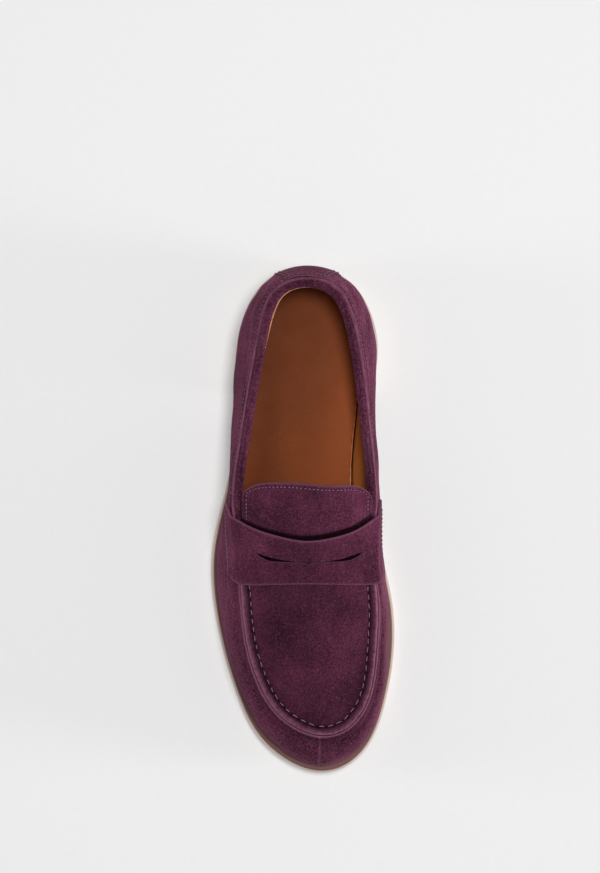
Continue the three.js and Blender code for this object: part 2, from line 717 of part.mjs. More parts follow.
// ---- Threads ----
const ON_FACE = -THREAD - THREAD_LIFT; // depth of a thread's middle over the suede
const OVER_BACKSTAY = ON_FACE - BACKSTAY_GAP - BACKSTAY;
const COLLAR_SEAM = [4.9, 0.885]; // its last station and its height on the wall
const APRON_SEAM = [7.25, 0.9]; // its first station and its r
const STRAP_SEAM = 2.5; // from the strap's front and rear edges
const TONGUE_SEAM = 2.6; // from the tongue's free edge
const backstayThread = (side) =>
  cord(
    range(0.06, 0.85, 10).map((h) => wall(side * (backstayHalf(h) - 0.08), h, OVER_BACKSTAY)),
    THREAD,
    12,
    4,
  );

// The stitching under the collar roll crosses over the backstay.
function collarThread() {
  const [end, height] = COLLAR_SEAM;
  const depth = (u) => (Math.abs(u) < 0.9 ? OVER_BACKSTAY : ON_FACE);
  return cord(stations(-end, end).map((u) => wall(u, height, depth(u))), THREAD, 52, 4);
}

function apronThread() {
  const [start, r] = APRON_SEAM;
  const points = range(start, TURN - start, 60).map((u) => apronPoint(u, r, ON_FACE - 0.25));
  return cord(points, THREAD, 90);
}

const strapThread = (q) =>
  cord(
    range(strapFront(q) + STRAP_SEAM, strapRear(q) - STRAP_SEAM, 10).map((y) =>
      saddle(q, y, ON_FACE - SADDLE_GAP - STRAP),
    ),
    THREAD,
    12,
  );

function tongueThread() {
  const [first, last] = [0.06, 0.94];
  const point = (t, y) => tonguePoint(t, y, ON_FACE - 0.05);
  const rear = range(first, last, 24).map((t) => point(t, tongueEnd(t, TONGUE_SEAM)));
  const side = (t) => point(t, TONGUE_HINGE + 1.6);
  return cord([side(first), ...rear, side(last)], THREAD, 60, 4);
}

// ---- Assembly ----
const SUEDE_LOOK = [0.95, 0];
const CLOTH_LOOK = [0.95, 0];
const LEATHER_LOOK = [0.55, 0];
const RUBBER_LOOK = [0.7, 0];
const BOARD_LOOK = [0.85, 0];
const SEAM = 0.012; // half the gap between the two sides, in stations
const UNDER_SUEDE = SUEDE + GAP;
const UNDER_STIFFENER = UNDER_SUEDE + STIFFENER + GAP;

const stiffener = (from, to, top) => wallLayer(from, to, top, UNDER_SUEDE, STIFFENER);
const lining = (from, to, top) => wallLayer(from, to, top, UNDER_STIFFENER, LINING);

const pieces = [
  ["outsole", outsole(), 0xd9cdbf, RUBBER_LOOK],
  ["midsole", midsole(), 0x7a5240, LEATHER_LOOK],
  ["heel_block", heelBlock(), 0xd9cdbf, RUBBER_LOOK],
  ["heel_top_piece", heelTopPiece(), 0xcabdae, RUBBER_LOOK],
  ["cork_filler", corkFiller(), 0xb58a5c, BOARD_LOOK],
  ["shank", shank(), 0x9a9da1, [0.4, 1]],
  ["insole_board", slice(boardBase, BOARD, FOOTBED_INSET), 0xa98a68, BOARD_LOOK],
  ["footbed_foam", slice(foamBase, FOAM, FOOTBED_INSET), 0xd8c9a8, CLOTH_LOOK],
  ["footbed", slice(footbedBase, FOOTBED, FOOTBED_INSET), 0x70402a, LEATHER_LOOK],
  ["upper_side_lateral", upperSide(stations(SEAM, TOE - SEAM)), 0x4d2639, SUEDE_LOOK],
  ["upper_side_medial", upperSide(stations(TOE + SEAM, TURN - SEAM)), 0x5a2d42, SUEDE_LOOK],
  ["apron", apron(), 0x442233, SUEDE_LOOK],
  ["strap", strap(), 0x4d2739, SUEDE_LOOK],
  ["tongue_base", tongueBase(), 0x52293c, SUEDE_LOOK],
  ["tongue_flap", tongueFlap(), 0x52293c, SUEDE_LOOK],
  ["tongue_flap_lining", tongueFlapLining(), 0x764120, LEATHER_LOOK],
  ["backstay", backstay(), 0x532b40, SUEDE_LOOK],
  ["collar_binding", collarBinding(), 0x532b40, SUEDE_LOOK],
  ["collar_foam", collarFoam(), 0xd8c9a8, CLOTH_LOOK],
  ["heel_counter", stiffener(-3.2, 3.2, 0.65), 0xb9a582, BOARD_LOOK],
  ["toe_puff", stiffener(9.2, 12.8, 0.9), 0xb9a582, BOARD_LOOK],
  ["interlining_lateral", stiffener(3.35, 9.05, 0.8), 0xcfc6b2, CLOTH_LOOK],
  ["interlining_medial", stiffener(12.95, 18.65, 0.8), 0xcfc6b2, CLOTH_LOOK],
  ["vamp_lining", lining(8.05, 13.95, LINING_TOP), 0xcfc6b2, CLOTH_LOOK],
  ["apron_lining", apronLining(), 0xcfc6b2, CLOTH_LOOK],
  ["quarter_lining_lateral", lining(1.62, 7.95, liningTop), 0x764120, LEATHER_LOOK],
  ["quarter_lining_medial", lining(14.05, 20.38, liningTop), 0x764120, LEATHER_LOOK],
  ["heel_lining", lining(-1.56, 1.56, REAR_TOP), 0x764120, LEATHER_LOOK],
  ["apron_thread", apronThread(), 0x8a6f7d, CLOTH_LOOK],
  ["strap_thread_lateral", strapThread(-WING + 0.07), 0x6b4558, CLOTH_LOOK],
  ["strap_thread_medial", strapThread(WING - 0.07), 0x6b4558, CLOTH_LOOK],
  ["tongue_thread", tongueThread(), 0xa58b98, CLOTH_LOOK],
  ["backstay_thread_lateral", backstayThread(1), 0x6b4558, CLOTH_LOOK],
  ["backstay_thread_medial", backstayThread(-1), 0x6b4558, CLOTH_LOOK],
  ["collar_thread", collarThread(), 0x6b4558, CLOTH_LOOK],
  ...NAILS.map(([x, y], i) => [`heel_nail_${i + 1}`, heelNail(x, y), 0xb08d4a, [0.35, 1]]),
];

const shoe = new THREE.Group();
for (const [name, geometry, color, [roughness, metalness]] of pieces) {
  const material = new THREE.MeshStandardMaterial({ color, roughness, metalness });
  const mesh = new THREE.Mesh(geometry, material);
  mesh.name = name;
  shoe.add(mesh);
}

export default shoe;
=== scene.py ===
"""A plum suede penny loafer for the right foot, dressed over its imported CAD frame.

Lengths are in millimetres until make_object() turns them into metres. The frame stands on z = 0,
with the toe towards -Y and the big-toe (medial) side towards +X.
"""
import math

import bmesh
import bpy
import numpy as np
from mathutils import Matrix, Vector


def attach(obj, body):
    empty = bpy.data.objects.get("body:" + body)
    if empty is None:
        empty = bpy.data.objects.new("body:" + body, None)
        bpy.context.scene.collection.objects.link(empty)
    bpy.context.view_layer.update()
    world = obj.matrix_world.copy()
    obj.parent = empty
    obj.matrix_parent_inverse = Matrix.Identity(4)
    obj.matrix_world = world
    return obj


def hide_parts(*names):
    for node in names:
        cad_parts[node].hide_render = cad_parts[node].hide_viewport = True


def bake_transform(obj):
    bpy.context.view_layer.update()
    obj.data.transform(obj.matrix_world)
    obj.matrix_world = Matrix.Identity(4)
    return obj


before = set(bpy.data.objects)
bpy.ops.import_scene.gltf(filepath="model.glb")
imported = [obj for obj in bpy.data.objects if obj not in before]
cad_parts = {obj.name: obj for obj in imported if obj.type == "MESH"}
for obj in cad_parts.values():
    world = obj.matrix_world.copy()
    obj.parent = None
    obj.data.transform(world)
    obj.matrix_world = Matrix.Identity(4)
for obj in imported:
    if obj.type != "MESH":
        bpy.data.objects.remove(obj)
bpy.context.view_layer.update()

MM = 0.001
# Thicknesses, and the gap between layers
SUEDE = 1.3
LAYER = 0.9  # stiffeners and linings
GAP = 0.3
OUTSOLE = 6.6
MIDSOLE = 3.3
TOP_PIECE = 5.0
STRAP = 1.6
# Heights
HEEL_SEAT = 15.6
TOE_SPRING = 9.5
FOOTBED_TOP = 8.1  # above the feather line
RIDGE = 3.0  # of the apron's seam
STRAP_LIFT = 0.6
# Places along y
TOE_END = -150.0
FLAT_FRONT = -90.0  # the flat of the outsole under the ball
FLAT_REAR = -44.0
HEEL_BREAST = 73.0
HEEL_START = 78.0
TONGUE_START = -31.0
TONGUE_END = 22.0
SPINE_TOE = -104.0
# Widths
MARGIN = 11.5  # of the upper under the insole board
FOOTBED_INSET = 4.6
ROLL_WIDTH = 6.0
ROLL_HEIGHT = 5.4
ROLL_TUCK = 0.9  # how far the top of the wall overlaps the roll
ROLL_HALF = (ROLL_WIDTH - ROLL_TUCK) / 2
TOP_SQUARENESS = 2.8
QUARTER_FULLNESS = 0.04  # how far the wall bows out, as a share of its height
TOE_FULLNESS = 0.14
TONGUE_LATERAL = -35.8  # the x of its edges
TONGUE_MEDIAL = 40.4
TONGUE_OVER_ROLL = 3.0  # how far its edges rise over the collar roll
TONGUE_WIDTH = 72
SHOULDER_HALF = 41  # half the width between the shoulder lines at the strap

# ---- The last: the stations that the CAD part is built on ----
# Sole edge x, y | feather line x, y | bulge x, y, z | shoulder x, y, z. Station 0 is the middle
# of the heel, 11 is the toe, and the lateral side comes first.
STATIONS = [
    [1.8, 150, 1.6, 142.2, 1.6, 146.9, 45, 2.2, 139.2, 80],
    [-25.2, 137.6, -22.6, 131.5, -25, 135, 45, -17.6, 130.6, 78.2],
    [-38.4, 108, -34.2, 106, -37.2, 107, 44, -26.4, 105, 73.4],
    [-40, 77, -36, 77, -40.2, 77, 43, -32, 75, 68.4],
    [-40.8, 45, -37.2, 45, -42, 45, 41, -37.2, 43, 64.8],
    [-47.4, 12, -42.2, 12, -44.8, 12.5, 35, -40.6, 12, 64.2],
    [-53.8, -17, -47.6, -17, -50, -17, 28, -37.4, -18, 66],
    [-53.6, -47, -48, -47, -50, -47, 25, -35.9, -46, 59.6],
    [-47.4, -79.5, -42.6, -78, -44.2, -78.5, 24.5, -33, -71, 53.2],
    [-38.4, -107.5, -33.3, -105, -34.6, -105.5, 25, -27, -92, 48.6],
    [-22.4, -134, -18.6, -127.8, -19.4, -128.8, 26, -13.4, -113.8, 45],
    [9.2, -150, 9.6, -143.4, 9.7, -144.6, 27, 10, -125.2, 43],
    [37, -137, 34, -130, 35.2, -131.2, 26, 29.6, -117.6, 44.6],
    [49.6, -107.5, 44.8, -106.3, 46.1, -106.9, 25, 39.8, -97.5, 48],
    [54.2, -79, 47.8, -79, 49, -79, 24.5, 42.8, -72.5, 52.8],
    [53.2, -49, 47.8, -49, 49.5, -49, 25, 43.4, -47, 59],
    [46.2, -18, 42.4, -18, 46.4, -18, 30, 41, -18, 66],
    [40.8, 12, 33.6, 12, 43.8, 12.5, 38, 42.6, 12, 63.6],
    [39, 45, 33.8, 45, 42, 45, 43, 40.2, 43, 64.8],
    [41.6, 77, 36.8, 77, 41.8, 77, 44, 36.4, 75, 68.4],
    [43.8, 107, 37.2, 106, 41.5, 107, 44, 31.6, 105, 73.4],
    [30.4, 137.7, 26.6, 131.5, 29.8, 135.9, 45, 22, 130.6, 78.2],
]
TOE = 11
TURN = len(STATIONS)
SOLE, FOOT, BULGE, SHOULDER = 0, 2, 4, 7  # first columns of the four lines
# y, z along the middle of the instep
TOP_LINE = [[-126, 43.4], [-100, 50.4], [-80, 56], [-40, 69], [0, 81.8], [24, 88.2]]
# The strap. q is 0 in the middle, 1 on the shoulder line and WING at the end of the wings.
WING = 1.4
WING_END = 0.78  # the height on the wall there
WING_REACH = 25.0  # millimetres of wing for one unit of q
# q, y of the strap's edges; x, y of the slit and half its width
STRAP_REAR = [[-1.4, 11], [-1, 3.4], [-0.72, -2.6], [-0.4, -6.9], [0, -9.8],
              [0.4, -7.8], [0.75, -2.8], [1, 4], [1.4, 12.6]]
STRAP_FRONT = [[-1.4, -30], [-1, -35], [-0.6, -35.2], [0.6, -35.2], [1, -35], [1.4, -30.6]]
SLIT_LINE = [[-45, -13], [-27, -16.6], [-22, -19.2], [-14, -21], [2, -22.2],
             [18, -21.2], [28, -19.2], [33.6, -16.6], [48, -13]]
SLIT_HALF = [[-27, 0.0], [-24.5, 0.9], [-20, 1.35], [-13, 0.85], [-6, 0.5], [2, 0.35],
             [14, 0.35], [20, 0.75], [27, 1.35], [31, 1.0], [33.6, 0.0]]
# Stations
APRON_REAR = 6.15
APRON_SEAM_REAR = 6.62
COLLAR_END = 5.5
COLLAR_SEAM = 0.885  # its height on the wall
LINING_DEPTH = SUEDE + 2 * GAP + LAYER
INSIDE = LINING_DEPTH + LAYER
CLOTH_SCALE = 20.0
SEAM = 0.001  # half the gap between the two sides, in stations
TOE_STEP = 26  # millimetres of wall in one station at the toe, and at the heel
HEEL_STEP = 29
BRUSHED = np.array([1, 0.22, 1])  # the leather is brushed and folds lengthwise
UP = np.array([0, 0, 1.0])
# x, y of the heel nails
NAILS = [[0, 134], [-24, 117], [28, 117], [-25, 91], [29, 91]]


# ---- Curves ----
def smooth(x, a, b):
    t = np.clip((x - a) / (b - a), 0, 1)
    return t * t * (3 - 2 * t)


def lerp(a, b, t):
    return a + (b - a) * t


def hump(x, centre, width):
    """1 at the centre, dying away over about twice the width."""
    return np.exp(-((x - centre) / width) ** 2)


def together(a, b):
    return np.broadcast_arrays(np.asarray(a, float), np.asarray(b, float))


def unit(vectors):
    return vectors / np.linalg.norm(vectors, axis=-1, keepdims=True)


def closed_curve(rows):
    """A closed curve through rows at whole parameters, smooth to the second derivative."""
    rows = np.array(rows, float)
    n = len(rows)
    kink = np.roll(rows, 1, 0) - 2 * rows + np.roll(rows, -1, 0)
    pull = 4 * np.eye(n) + np.roll(np.eye(n), 1, 0) + np.roll(np.eye(n), -1, 0)
    bend = np.linalg.solve(pull, 6 * kink)

    def at(u):
        w = np.mod(u, n)
        i = np.floor(w).astype(int) % n
        j = (i + 1) % n
        t = (w - np.floor(w))[..., None]
        s = 1 - t
        curve = ((s ** 3 - s) * bend[i] + (t ** 3 - t) * bend[j]) / 6
        return s * rows[i] + t * rows[j] + curve

    return at


def function_through(knots):
    """A smooth function through [x, y] knots, continued in a straight line past both ends."""
    x, y = np.array(knots, float).T
    n = len(x)
    h = np.diff(x)
    slope = np.diff(y) / h
    pull = np.eye(n)
    want = np.zeros(n)
    for i in range(1, n - 1):
        pull[i, i - 1: i + 2] = h[i - 1], 2 * (h[i - 1] + h[i]), h[i]
        want[i] = 6 * (slope[i] - slope[i - 1])
    bend = np.linalg.solve(pull, want)

    def at(value):
        value = np.asarray(value, float)
        i = np.clip(np.searchsorted(x, value) - 1, 0, n - 2)
        t = np.clip((value - x[i]) / h[i], 0, 1)
        s = 1 - t
        curve = ((s ** 3 - s) * bend[i] + (t ** 3 - t) * bend[i + 1]) * h[i] ** 2 / 6
        return s * y[i] + t * y[i + 1] + curve + (value - x[i] - t * h[i]) * slope[i]

    return at


station = closed_curve(STATIONS)
top_line = function_through(TOP_LINE)
strap_rear = function_through(STRAP_REAR)
strap_front = function_through(STRAP_FRONT)
slit_line = function_through(SLIT_LINE)


def underside(y):
    """The outsole's underside: sprung at the toe, flat under the ball, level over the heel."""
    spring = TOE_SPRING * (np.maximum(FLAT_FRONT - y, 0) / (FLAT_FRONT - TOE_END)) ** 1.8
    return spring + HEEL_SEAT * smooth(y, FLAT_REAR, HEEL_START)


def midsole_base(y):
    return underside(y) + OUTSOLE + GAP


def feather(y):
    return midsole_base(y) + MIDSOLE + GAP


def edge_normal(u, column):
    """The way out of the shoe, seen from above, on the line that starts at a column."""
    step = station(u + 0.05)[..., column:column + 2] - station(u - 0.05)[..., column:column + 2]
    return unit(np.stack([step[..., 1], -step[..., 0]], -1))


def inset(u, column, distance):
    out = edge_normal(u, column)
    return station(u)[..., column:column + 2] - out * np.asarray(distance)[..., None]


def wall_face(u, h):
    """The upper's outer face: h is 0 at the feather line and 1 at the shoulder."""
    u, h = together(u, h)
    row = station(u)
    foot = np.concatenate([row[..., FOOT:BULGE], feather(row[..., FOOT + 1])[..., None]], -1)
    bulge, shoulder = row[..., BULGE:SHOULDER], row[..., SHOULDER:]
    out = edge_normal(u, FOOT)
    # Halfway up from the bulge to the shoulder the wall bows out.
    rise = shoulder - bulge
    lean = -(rise[..., :2] * out).sum(-1)
    fullness = lerp(QUARTER_FULLNESS, TOE_FULLNESS, smooth(-bulge[..., 1], 20, 115))
    bow = np.concatenate([rise[..., 2:] * out, lean[..., None]], -1) * fullness[..., None]
    # The cubic through the four points at these heights
    knots = [0, 0.3, 0.65, 1]
    point = 0
    for i, p in enumerate([foot, bulge, (bulge + shoulder) / 2 + bow, shoulder]):
        weight = 1
        for j, other in enumerate(knots):
            if i != j:
                weight = weight * (h - other) / (knots[i] - other)
        point = point + p * np.asarray(weight)[..., None]
    return point


def crossing(y, column, rear, front):
    """The station between rear and front at which the line that starts at a column crosses y."""
    y = np.asarray(y, float)
    for _ in range(30):
        middle = np.broadcast_to((rear + front) / 2, y.shape)
        behind = station(middle)[..., column + 1] > y
        rear, front = np.where(behind, middle, rear), np.where(behind, front, middle)
    return (rear + front) / 2


def shoulders(y):
    """The stations at which the lateral and the medial shoulder line cross y."""
    return crossing(y, SHOULDER, 2, TOE - 1), crossing(y, SHOULDER, TURN - 2, TOE + 1)


def saddle_face(q, y):
    """The instep and the strap's wings: q is 0 in the middle and 1 on the shoulder line."""
    q, y = together(q, y)
    left, right = shoulders(y)
    share = ((q + 1) / 2)[..., None]
    flat = lerp(station(left)[..., SHOULDER:], station(right)[..., SHOULDER:], share)
    arch = 1 - np.minimum(np.abs(q), 1) ** TOP_SQUARENESS
    z = flat[..., 2] + (top_line(y) - flat[..., 2]) * arch
    top = np.stack([flat[..., 0], y, z], -1)
    h = 1 - (np.abs(q) - 1) / (WING - 1) * (1 - WING_END)
    side = wall_face(np.where(q > 0, right, left), h)
    return np.where((np.abs(q) > 1)[..., None], side, top)


def with_depth(face, da, db):
    """A face that can be sunk by a depth, and its normals, from steps of da and db."""
    def normals(a, b):
        a, b = together(a, b)
        along = face(a + da, b) - face(a - da, b)
        up = face(a, b + db) - face(a, b - db)
        return unit(np.cross(along, up))

    def at(a, b, depth=0.0):
        return face(a, b) - normals(a, b) * np.asarray(depth)[..., None]

    return at, normals


wall, wall_normals = with_depth(wall_face, 0.04, 0.02)
saddle, saddle_normals = with_depth(saddle_face, 0.05, 0.5)


def ripple(points, size, seed):
    """Smooth unevenness from -1 to 1 whose waves are about size millimetres long."""
    rng = np.random.default_rng(seed)
    total = 0
    for _ in range(9):
        direction = rng.normal(size=3)
        direction *= rng.uniform(0.6, 1.7) * 2 * math.pi / size / np.linalg.norm(direction)
        total = total + np.sin(points @ direction + rng.uniform(0, 2 * math.pi))
    return total / 4.5


# ---- Materials ----
class Look:
    """A material under construction, with its noises in millimetres."""

    def __init__(self, name):
        self.material = bpy.data.materials.new(name)
        self.material.use_nodes = True
        self.tree = self.material.node_tree
        self.shader = self.tree.nodes["Principled BSDF"]

    def connect(self, node, values):
        """Sets a node's inputs to numbers, or links them to the outputs of other nodes."""
        for key, value in dict(values).items():
            if isinstance(value, bpy.types.NodeSocket):
                self.tree.links.new(value, node.inputs[key])
            else:
                node.inputs[key].default_value = value

    def add(self, kind, values=(), output=0, **settings):
        node = self.tree.nodes.new("ShaderNode" + kind)
        for key, value in settings.items():
            setattr(node, key, value)
        self.connect(node, values)
        return node.outputs[output]

    def place(self):
        return self.add("TexCoord", output="Object")

    def noise(self, size, detail=3, roughness=0.6, stretch=(1, 1, 1)):
        """Noise whose features are about size across."""
        scaled_place = self.add("Mapping", {"Vector": self.place(), "Scale": stretch})
        return self.add("TexNoise", {"Vector": scaled_place, "Scale": 1 / (size * MM),
                                     "Detail": detail, "Roughness": roughness}, "Fac")

    def spread(self, value, low=0.3, high=0.7, out_low=0.0, out_high=1.0):
        return self.add("MapRange", {"Value": value, "From Min": low, "From Max": high,
                                     "To Min": out_low, "To Max": out_high}, "Result")

    def clouds(self, size, detail=3):
        return self.spread(self.noise(size, detail))

    def product(self, a, b):
        return self.add("Math", {0: a, 1: b}, operation="MULTIPLY")

    def mix(self, share, a, b):
        a, b = (c if isinstance(c, bpy.types.NodeSocket) else (*c, 1) for c in (a, b))
        return self.add("Mix", {0: share, 6: a, 7: b}, 2, data_type="RGBA")

    def by_tone(self, base, dark, pale=None):
        """Mixes dark into the base where the mesh's tone is below 0, and pale where above."""
        tone = self.add("Attribute", output="Fac", attribute_name="tone")
        base = self.mix(self.spread(tone, 0.0, -1.0), base, dark)
        return base if pale is None else self.mix(self.spread(tone, 0.0, 1.0), base, pale)

    def finish(self, base, relief, roughness, **others):
        """The material with its colour and its [height, depth] layers of relief."""
        inputs = {key.replace("_", " "): value for key, value in others.items()}
        for height, depth in relief:
            values = {"Height": height, "Strength": 1.0, "Distance": depth * MM}
            if "Normal" in inputs:
                values["Normal"] = inputs["Normal"]
            inputs["Normal"] = self.add("Bump", values)
        self.connect(self.shader, {"Base Color": base, "Roughness": roughness, **inputs})
        return self.material


def linear(colour):
    """An sRGB colour of 0 to 255 as linear light."""
    share = np.array(colour, float) / 255
    return tuple(np.where(share < 0.04045, share / 12.92, ((share + 0.055) / 1.055) ** 2.4))


def scaled(colour, factor):
    return tuple(c * factor for c in colour)


def suede(name, colour, nap=1.0):
    """Short-napped suede: cloudy, brushed in streaks; its tone paints highlights and wear pale and
    shade dark.
    """
    look = Look(name)
    cloud = look.noise(28, 3, 0.5)
    brushed = look.noise(5.0, 3, stretch=(1.0, 0.35, 1.0))
    grain = look.noise(1.5, 2, 0.75)
    fibre = look.noise(0.62, 2, 0.8)
    shade = 1.0
    for value, swing in ((cloud, 0.4), (brushed, 0.13 * nap),
                         (grain, 0.3 * nap), (fibre, 0.42 * nap)):
        shade = look.product(shade, look.spread(value, 0.3, 0.7, 1 - swing, 1 + swing))
    base = look.add("VectorMath", {0: colour, "Scale": shade}, operation="SCALE")
    flecks = look.spread(look.noise(0.75, 1), 0.58, 0.74, 0, 0.5 * nap)
    pale = tuple(np.array(colour) * 1.9 + 0.03)
    # where tone is below 0 the colour is darkened as painted shade; above 0 it is paled as painted
    # highlight and wear
    base = look.by_tone(look.mix(flecks, base, pale), scaled(colour, 0.12), scaled(pale, 1.5))
    return look.finish(base, [(brushed, 0.9), (grain, 0.5), (fibre, 0.35)], 1.0,
                       Specular_IOR_Level=0.05, Sheen_Weight=0.2, Sheen_Roughness=0.32,
                       Sheen_Tint=(0.95, 0.3, 0.52, 1))


def cut_edge(name, colour):
    """The raw edge of the suede, pale and fibrous."""
    look = Look(name)
    fibre = look.clouds(0.4, 4)
    base = look.mix(fibre, scaled(colour, 0.7), scaled(colour, 1.5))
    return look.finish(base, [(fibre, 0.3)], 1.0, Specular_IOR_Level=0.1)


def leather(name, colour, grain, depth, polish):
    """Smooth leather with a fine grain, uneven dye and a little polish."""
    look = Look(name)
    cracks = look.add("TexVoronoi", {"Vector": look.place(), "Scale": 1 / (grain * MM)},
                      "Distance", feature="DISTANCE_TO_EDGE")
    pores = look.spread(cracks, 0.0, 0.12)
    base = look.mix(look.clouds(28), scaled(colour, 0.88), scaled(colour, 1.1))
    base = look.mix(pores, scaled(colour, 0.8), base)
    # the tone darkens it as painted shade and pales it as painted light (footbed and linings)
    base = look.by_tone(base, scaled(colour, 0.2), scaled(colour, 1.8))
    roughness = look.spread(look.noise(9), 0.3, 0.7, 0.54, 0.68)
    return look.finish(base, [(pores, depth), (look.clouds(1.6), depth)], roughness,
                       Specular_IOR_Level=polish)


def rubber(name, colour, roughness=0.62):
    """Matt moulded rubber with a faint skin and scattered specks of dirt."""
    look = Look(name)
    base = look.mix(look.clouds(12, 4), scaled(colour, 0.93), scaled(colour, 1.04))
    specks = look.spread(look.noise(0.9, 2), 0.66, 0.74, 0, 0.35)
    base = look.by_tone(look.mix(specks, base, scaled(colour, 0.55)), scaled(colour, 0.35))
    return look.finish(base, [(look.clouds(0.5), 0.05)], roughness)


def woven(name, colour, pitch):
    """A plain weave: two crossed sets of threads, with slubs."""
    look = Look(name)
    values = {"Vector": look.place(), "Scale": 0.314 / (pitch * MM), "Distortion": 0.6,
              "Detail": 1.0}
    cloth = look.product(*(look.add("TexWave", values, "Fac", bands_direction=direction)
                           for direction in "XY"))
    slub = look.clouds(2.5)
    base = look.mix(cloth, scaled(colour, 0.6), scaled(colour, 1.05))
    base = look.mix(look.spread(slub, 0, 1, 0, 0.3), base, scaled(colour, 0.75))
    return look.finish(base, [(cloth, 0.12), (slub, 0.08)], 0.9)


def grainy(name, colour, size, roughness, metallic=0.0, depth=0.1):
    """Cork, pressed board, foam and bare metal: two scales of noise on one colour."""
    look = Look(name)
    fine = look.clouds(size)
    base = look.mix(look.clouds(size * 4), scaled(colour, 0.8), scaled(colour, 1.1))
    base = look.mix(fine, scaled(colour, 0.62), base)
    return look.finish(base, [(fine, depth)], roughness, Metallic=metallic)


PLUM = linear((71, 32, 50))
LOOKS = {
    "suede": suede("suede_plum", PLUM, 1.7),
    "apron": suede("suede_apron", scaled(PLUM, 0.9), 1.1),
    "strap": suede("suede_strap", scaled(PLUM, 1.02), 1.15),
    "edge": cut_edge("suede_cut_edge", linear((112, 66, 86))),
    "flesh": cut_edge("suede_flesh_side", linear((58, 30, 42))),
    "lining_edge": cut_edge("lining_cut_edge", linear((196, 140, 104))),
    "footbed": leather("footbed_leather", linear((120, 62, 33)), 1.1, 0.012, 0.05),
    "lining": leather("lining_leather", linear((194, 118, 60)), 0.8, 0.03, 0.1),
    "welt": leather("welt_leather", linear((112, 79, 74)), 0.5, 0.06, 0.2),
    "outsole": rubber("outsole_rubber", linear((184, 166, 157))),
    "heel": rubber("heel_rubber", linear((168, 152, 140)), 0.7),
    "thread": woven("thread_dusty_plum", linear((160, 128, 142)), 0.25),
    "dark_thread": woven("thread_plum", linear((138, 98, 118)), 0.25),
    "canvas": woven("lining_canvas", linear((205, 197, 178)), 0.6),
    "cork": grainy("cork_sheet", linear((181, 138, 92)), 0.9, 0.9, depth=0.2),
    "board": grainy("fibre_board", linear((176, 148, 104)), 0.5, 0.85),
    "foam": grainy("open_foam", linear((216, 201, 168)), 0.35, 0.95, depth=0.15),
    "steel": grainy("shank_steel", linear((150, 153, 157)), 0.3, 0.35, 1.0, 0.01),
    "brass": grainy("nail_brass", linear((186, 150, 84)), 0.25, 0.3, 1.0, 0.01),
}


# ---- Meshes ----
def new_object(name, data):
    made = bpy.data.objects.new(name, data)
    bpy.context.scene.collection.objects.link(made)
    return made


BACKWARDS = [0, 3, 2, 1]  # the corners of a face in the other direction
ROLL_SIDES = 20
THREAD_SIDES = 8
STITCH_RUN = np.linspace(-1, 1, 9)  # along one stitch
# Pitch, length, radius and lift of the stitches
APRON_STITCH = 5.4, 3.6, 0.3, 0.0
STRAP_STITCH = 2.5, 1.7, 0.3, 0.08
TONGUE_STITCH = 2.3, 1.35, 0.22, 0.05
FINE_STITCH = 2.6, 1.7, 0.22, 0.05


def make_object(name, points, faces, looks, face_looks=None, tone=None, bevel=0.0):
    """A mesh object from points in millimetres. tone below 0 is painted shade, above 0 painted
    highlight and wear.
    """
    mesh = bpy.data.meshes.new(name)
    faces = faces.tolist() if isinstance(faces, np.ndarray) else faces
    mesh.from_pydata((np.asarray(points) * MM).tolist(), [], faces)
    for look in looks:
        mesh.materials.append(LOOKS[look])
    if face_looks is not None:
        mesh.polygons.foreach_set("material_index", np.asarray(face_looks, np.int32))
    values = np.zeros(len(points)) if tone is None else np.asarray(tone, float).ravel()
    mesh.attributes.new("tone", "FLOAT", "POINT").data.foreach_set("value", values)
    mesh.polygons.foreach_set("use_smooth", np.ones(len(mesh.polygons), bool))
    piece = new_object(name, mesh)
    tidy(mesh)
    if bevel:
        rounding = piece.modifiers.new("rounded_edges", "BEVEL")
        rounding.width = bevel * MM
        rounding.segments = 3
        rounding.limit_method = "ANGLE"
        rounding.angle_limit = math.radians(50)
        rounding.harden_normals = False
    return piece


def tidy(mesh):
    """Merges points that lie on each other and turns every face outwards."""
    work = bmesh.new()
    work.from_mesh(mesh)
    bmesh.ops.remove_doubles(work, verts=work.verts, dist=0.004 * MM)
    bmesh.ops.dissolve_degenerate(work, edges=work.edges, dist=0.002 * MM)
    bmesh.ops.recalc_face_normals(work, faces=work.faces)
    work.to_mesh(mesh)
    work.free()


def finish_piece(piece, stands_for, bends=False):
    """Puts a piece on the shoe, or bakes its transform and leaves it loose, and hides the CAD parts
    it stands for.
    """
    if bends:
        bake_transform(piece)
    else:
        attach(piece, "shoe")
    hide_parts(*stands_for)


def cells(grid):
    """The corners of every cell in a grid of point numbers."""
    corners = [grid[:-1, :-1], grid[1:, :-1], grid[1:, 1:], grid[:-1, 1:]]
    return np.stack(corners, -1).reshape(-1, 4)


def band(a, b):
    """The faces between two rows of point numbers."""
    return np.stack([a[:-1], a[1:], b[1:], b[:-1]], -1)


def closed_round(grid):
    return np.concatenate([grid, grid[:, :1]], 1)


def stack_points(grids):
    return np.concatenate([grid.reshape(-1, 3) for grid in grids])


def sheet_faces(rows, columns, folded):
    """Faces of a sheet with thickness whose outer grid comes first, and the look of each."""
    grid = np.arange(rows * columns).reshape(rows, columns)
    low = grid + rows * columns
    parts = [cells(grid), cells(low)[:, BACKWARDS], band(grid[0], low[0]),
             band(grid[-1], low[-1])[:, BACKWARDS], band(grid[:, 0], low[:, 0])[:, BACKWARDS]]
    if not folded:
        parts.append(band(grid[:, -1], low[:, -1]))
    kinds = [np.full(len(part), min(kind, 2)) for kind, part in enumerate(parts)]
    return np.concatenate(parts), np.concatenate(kinds)


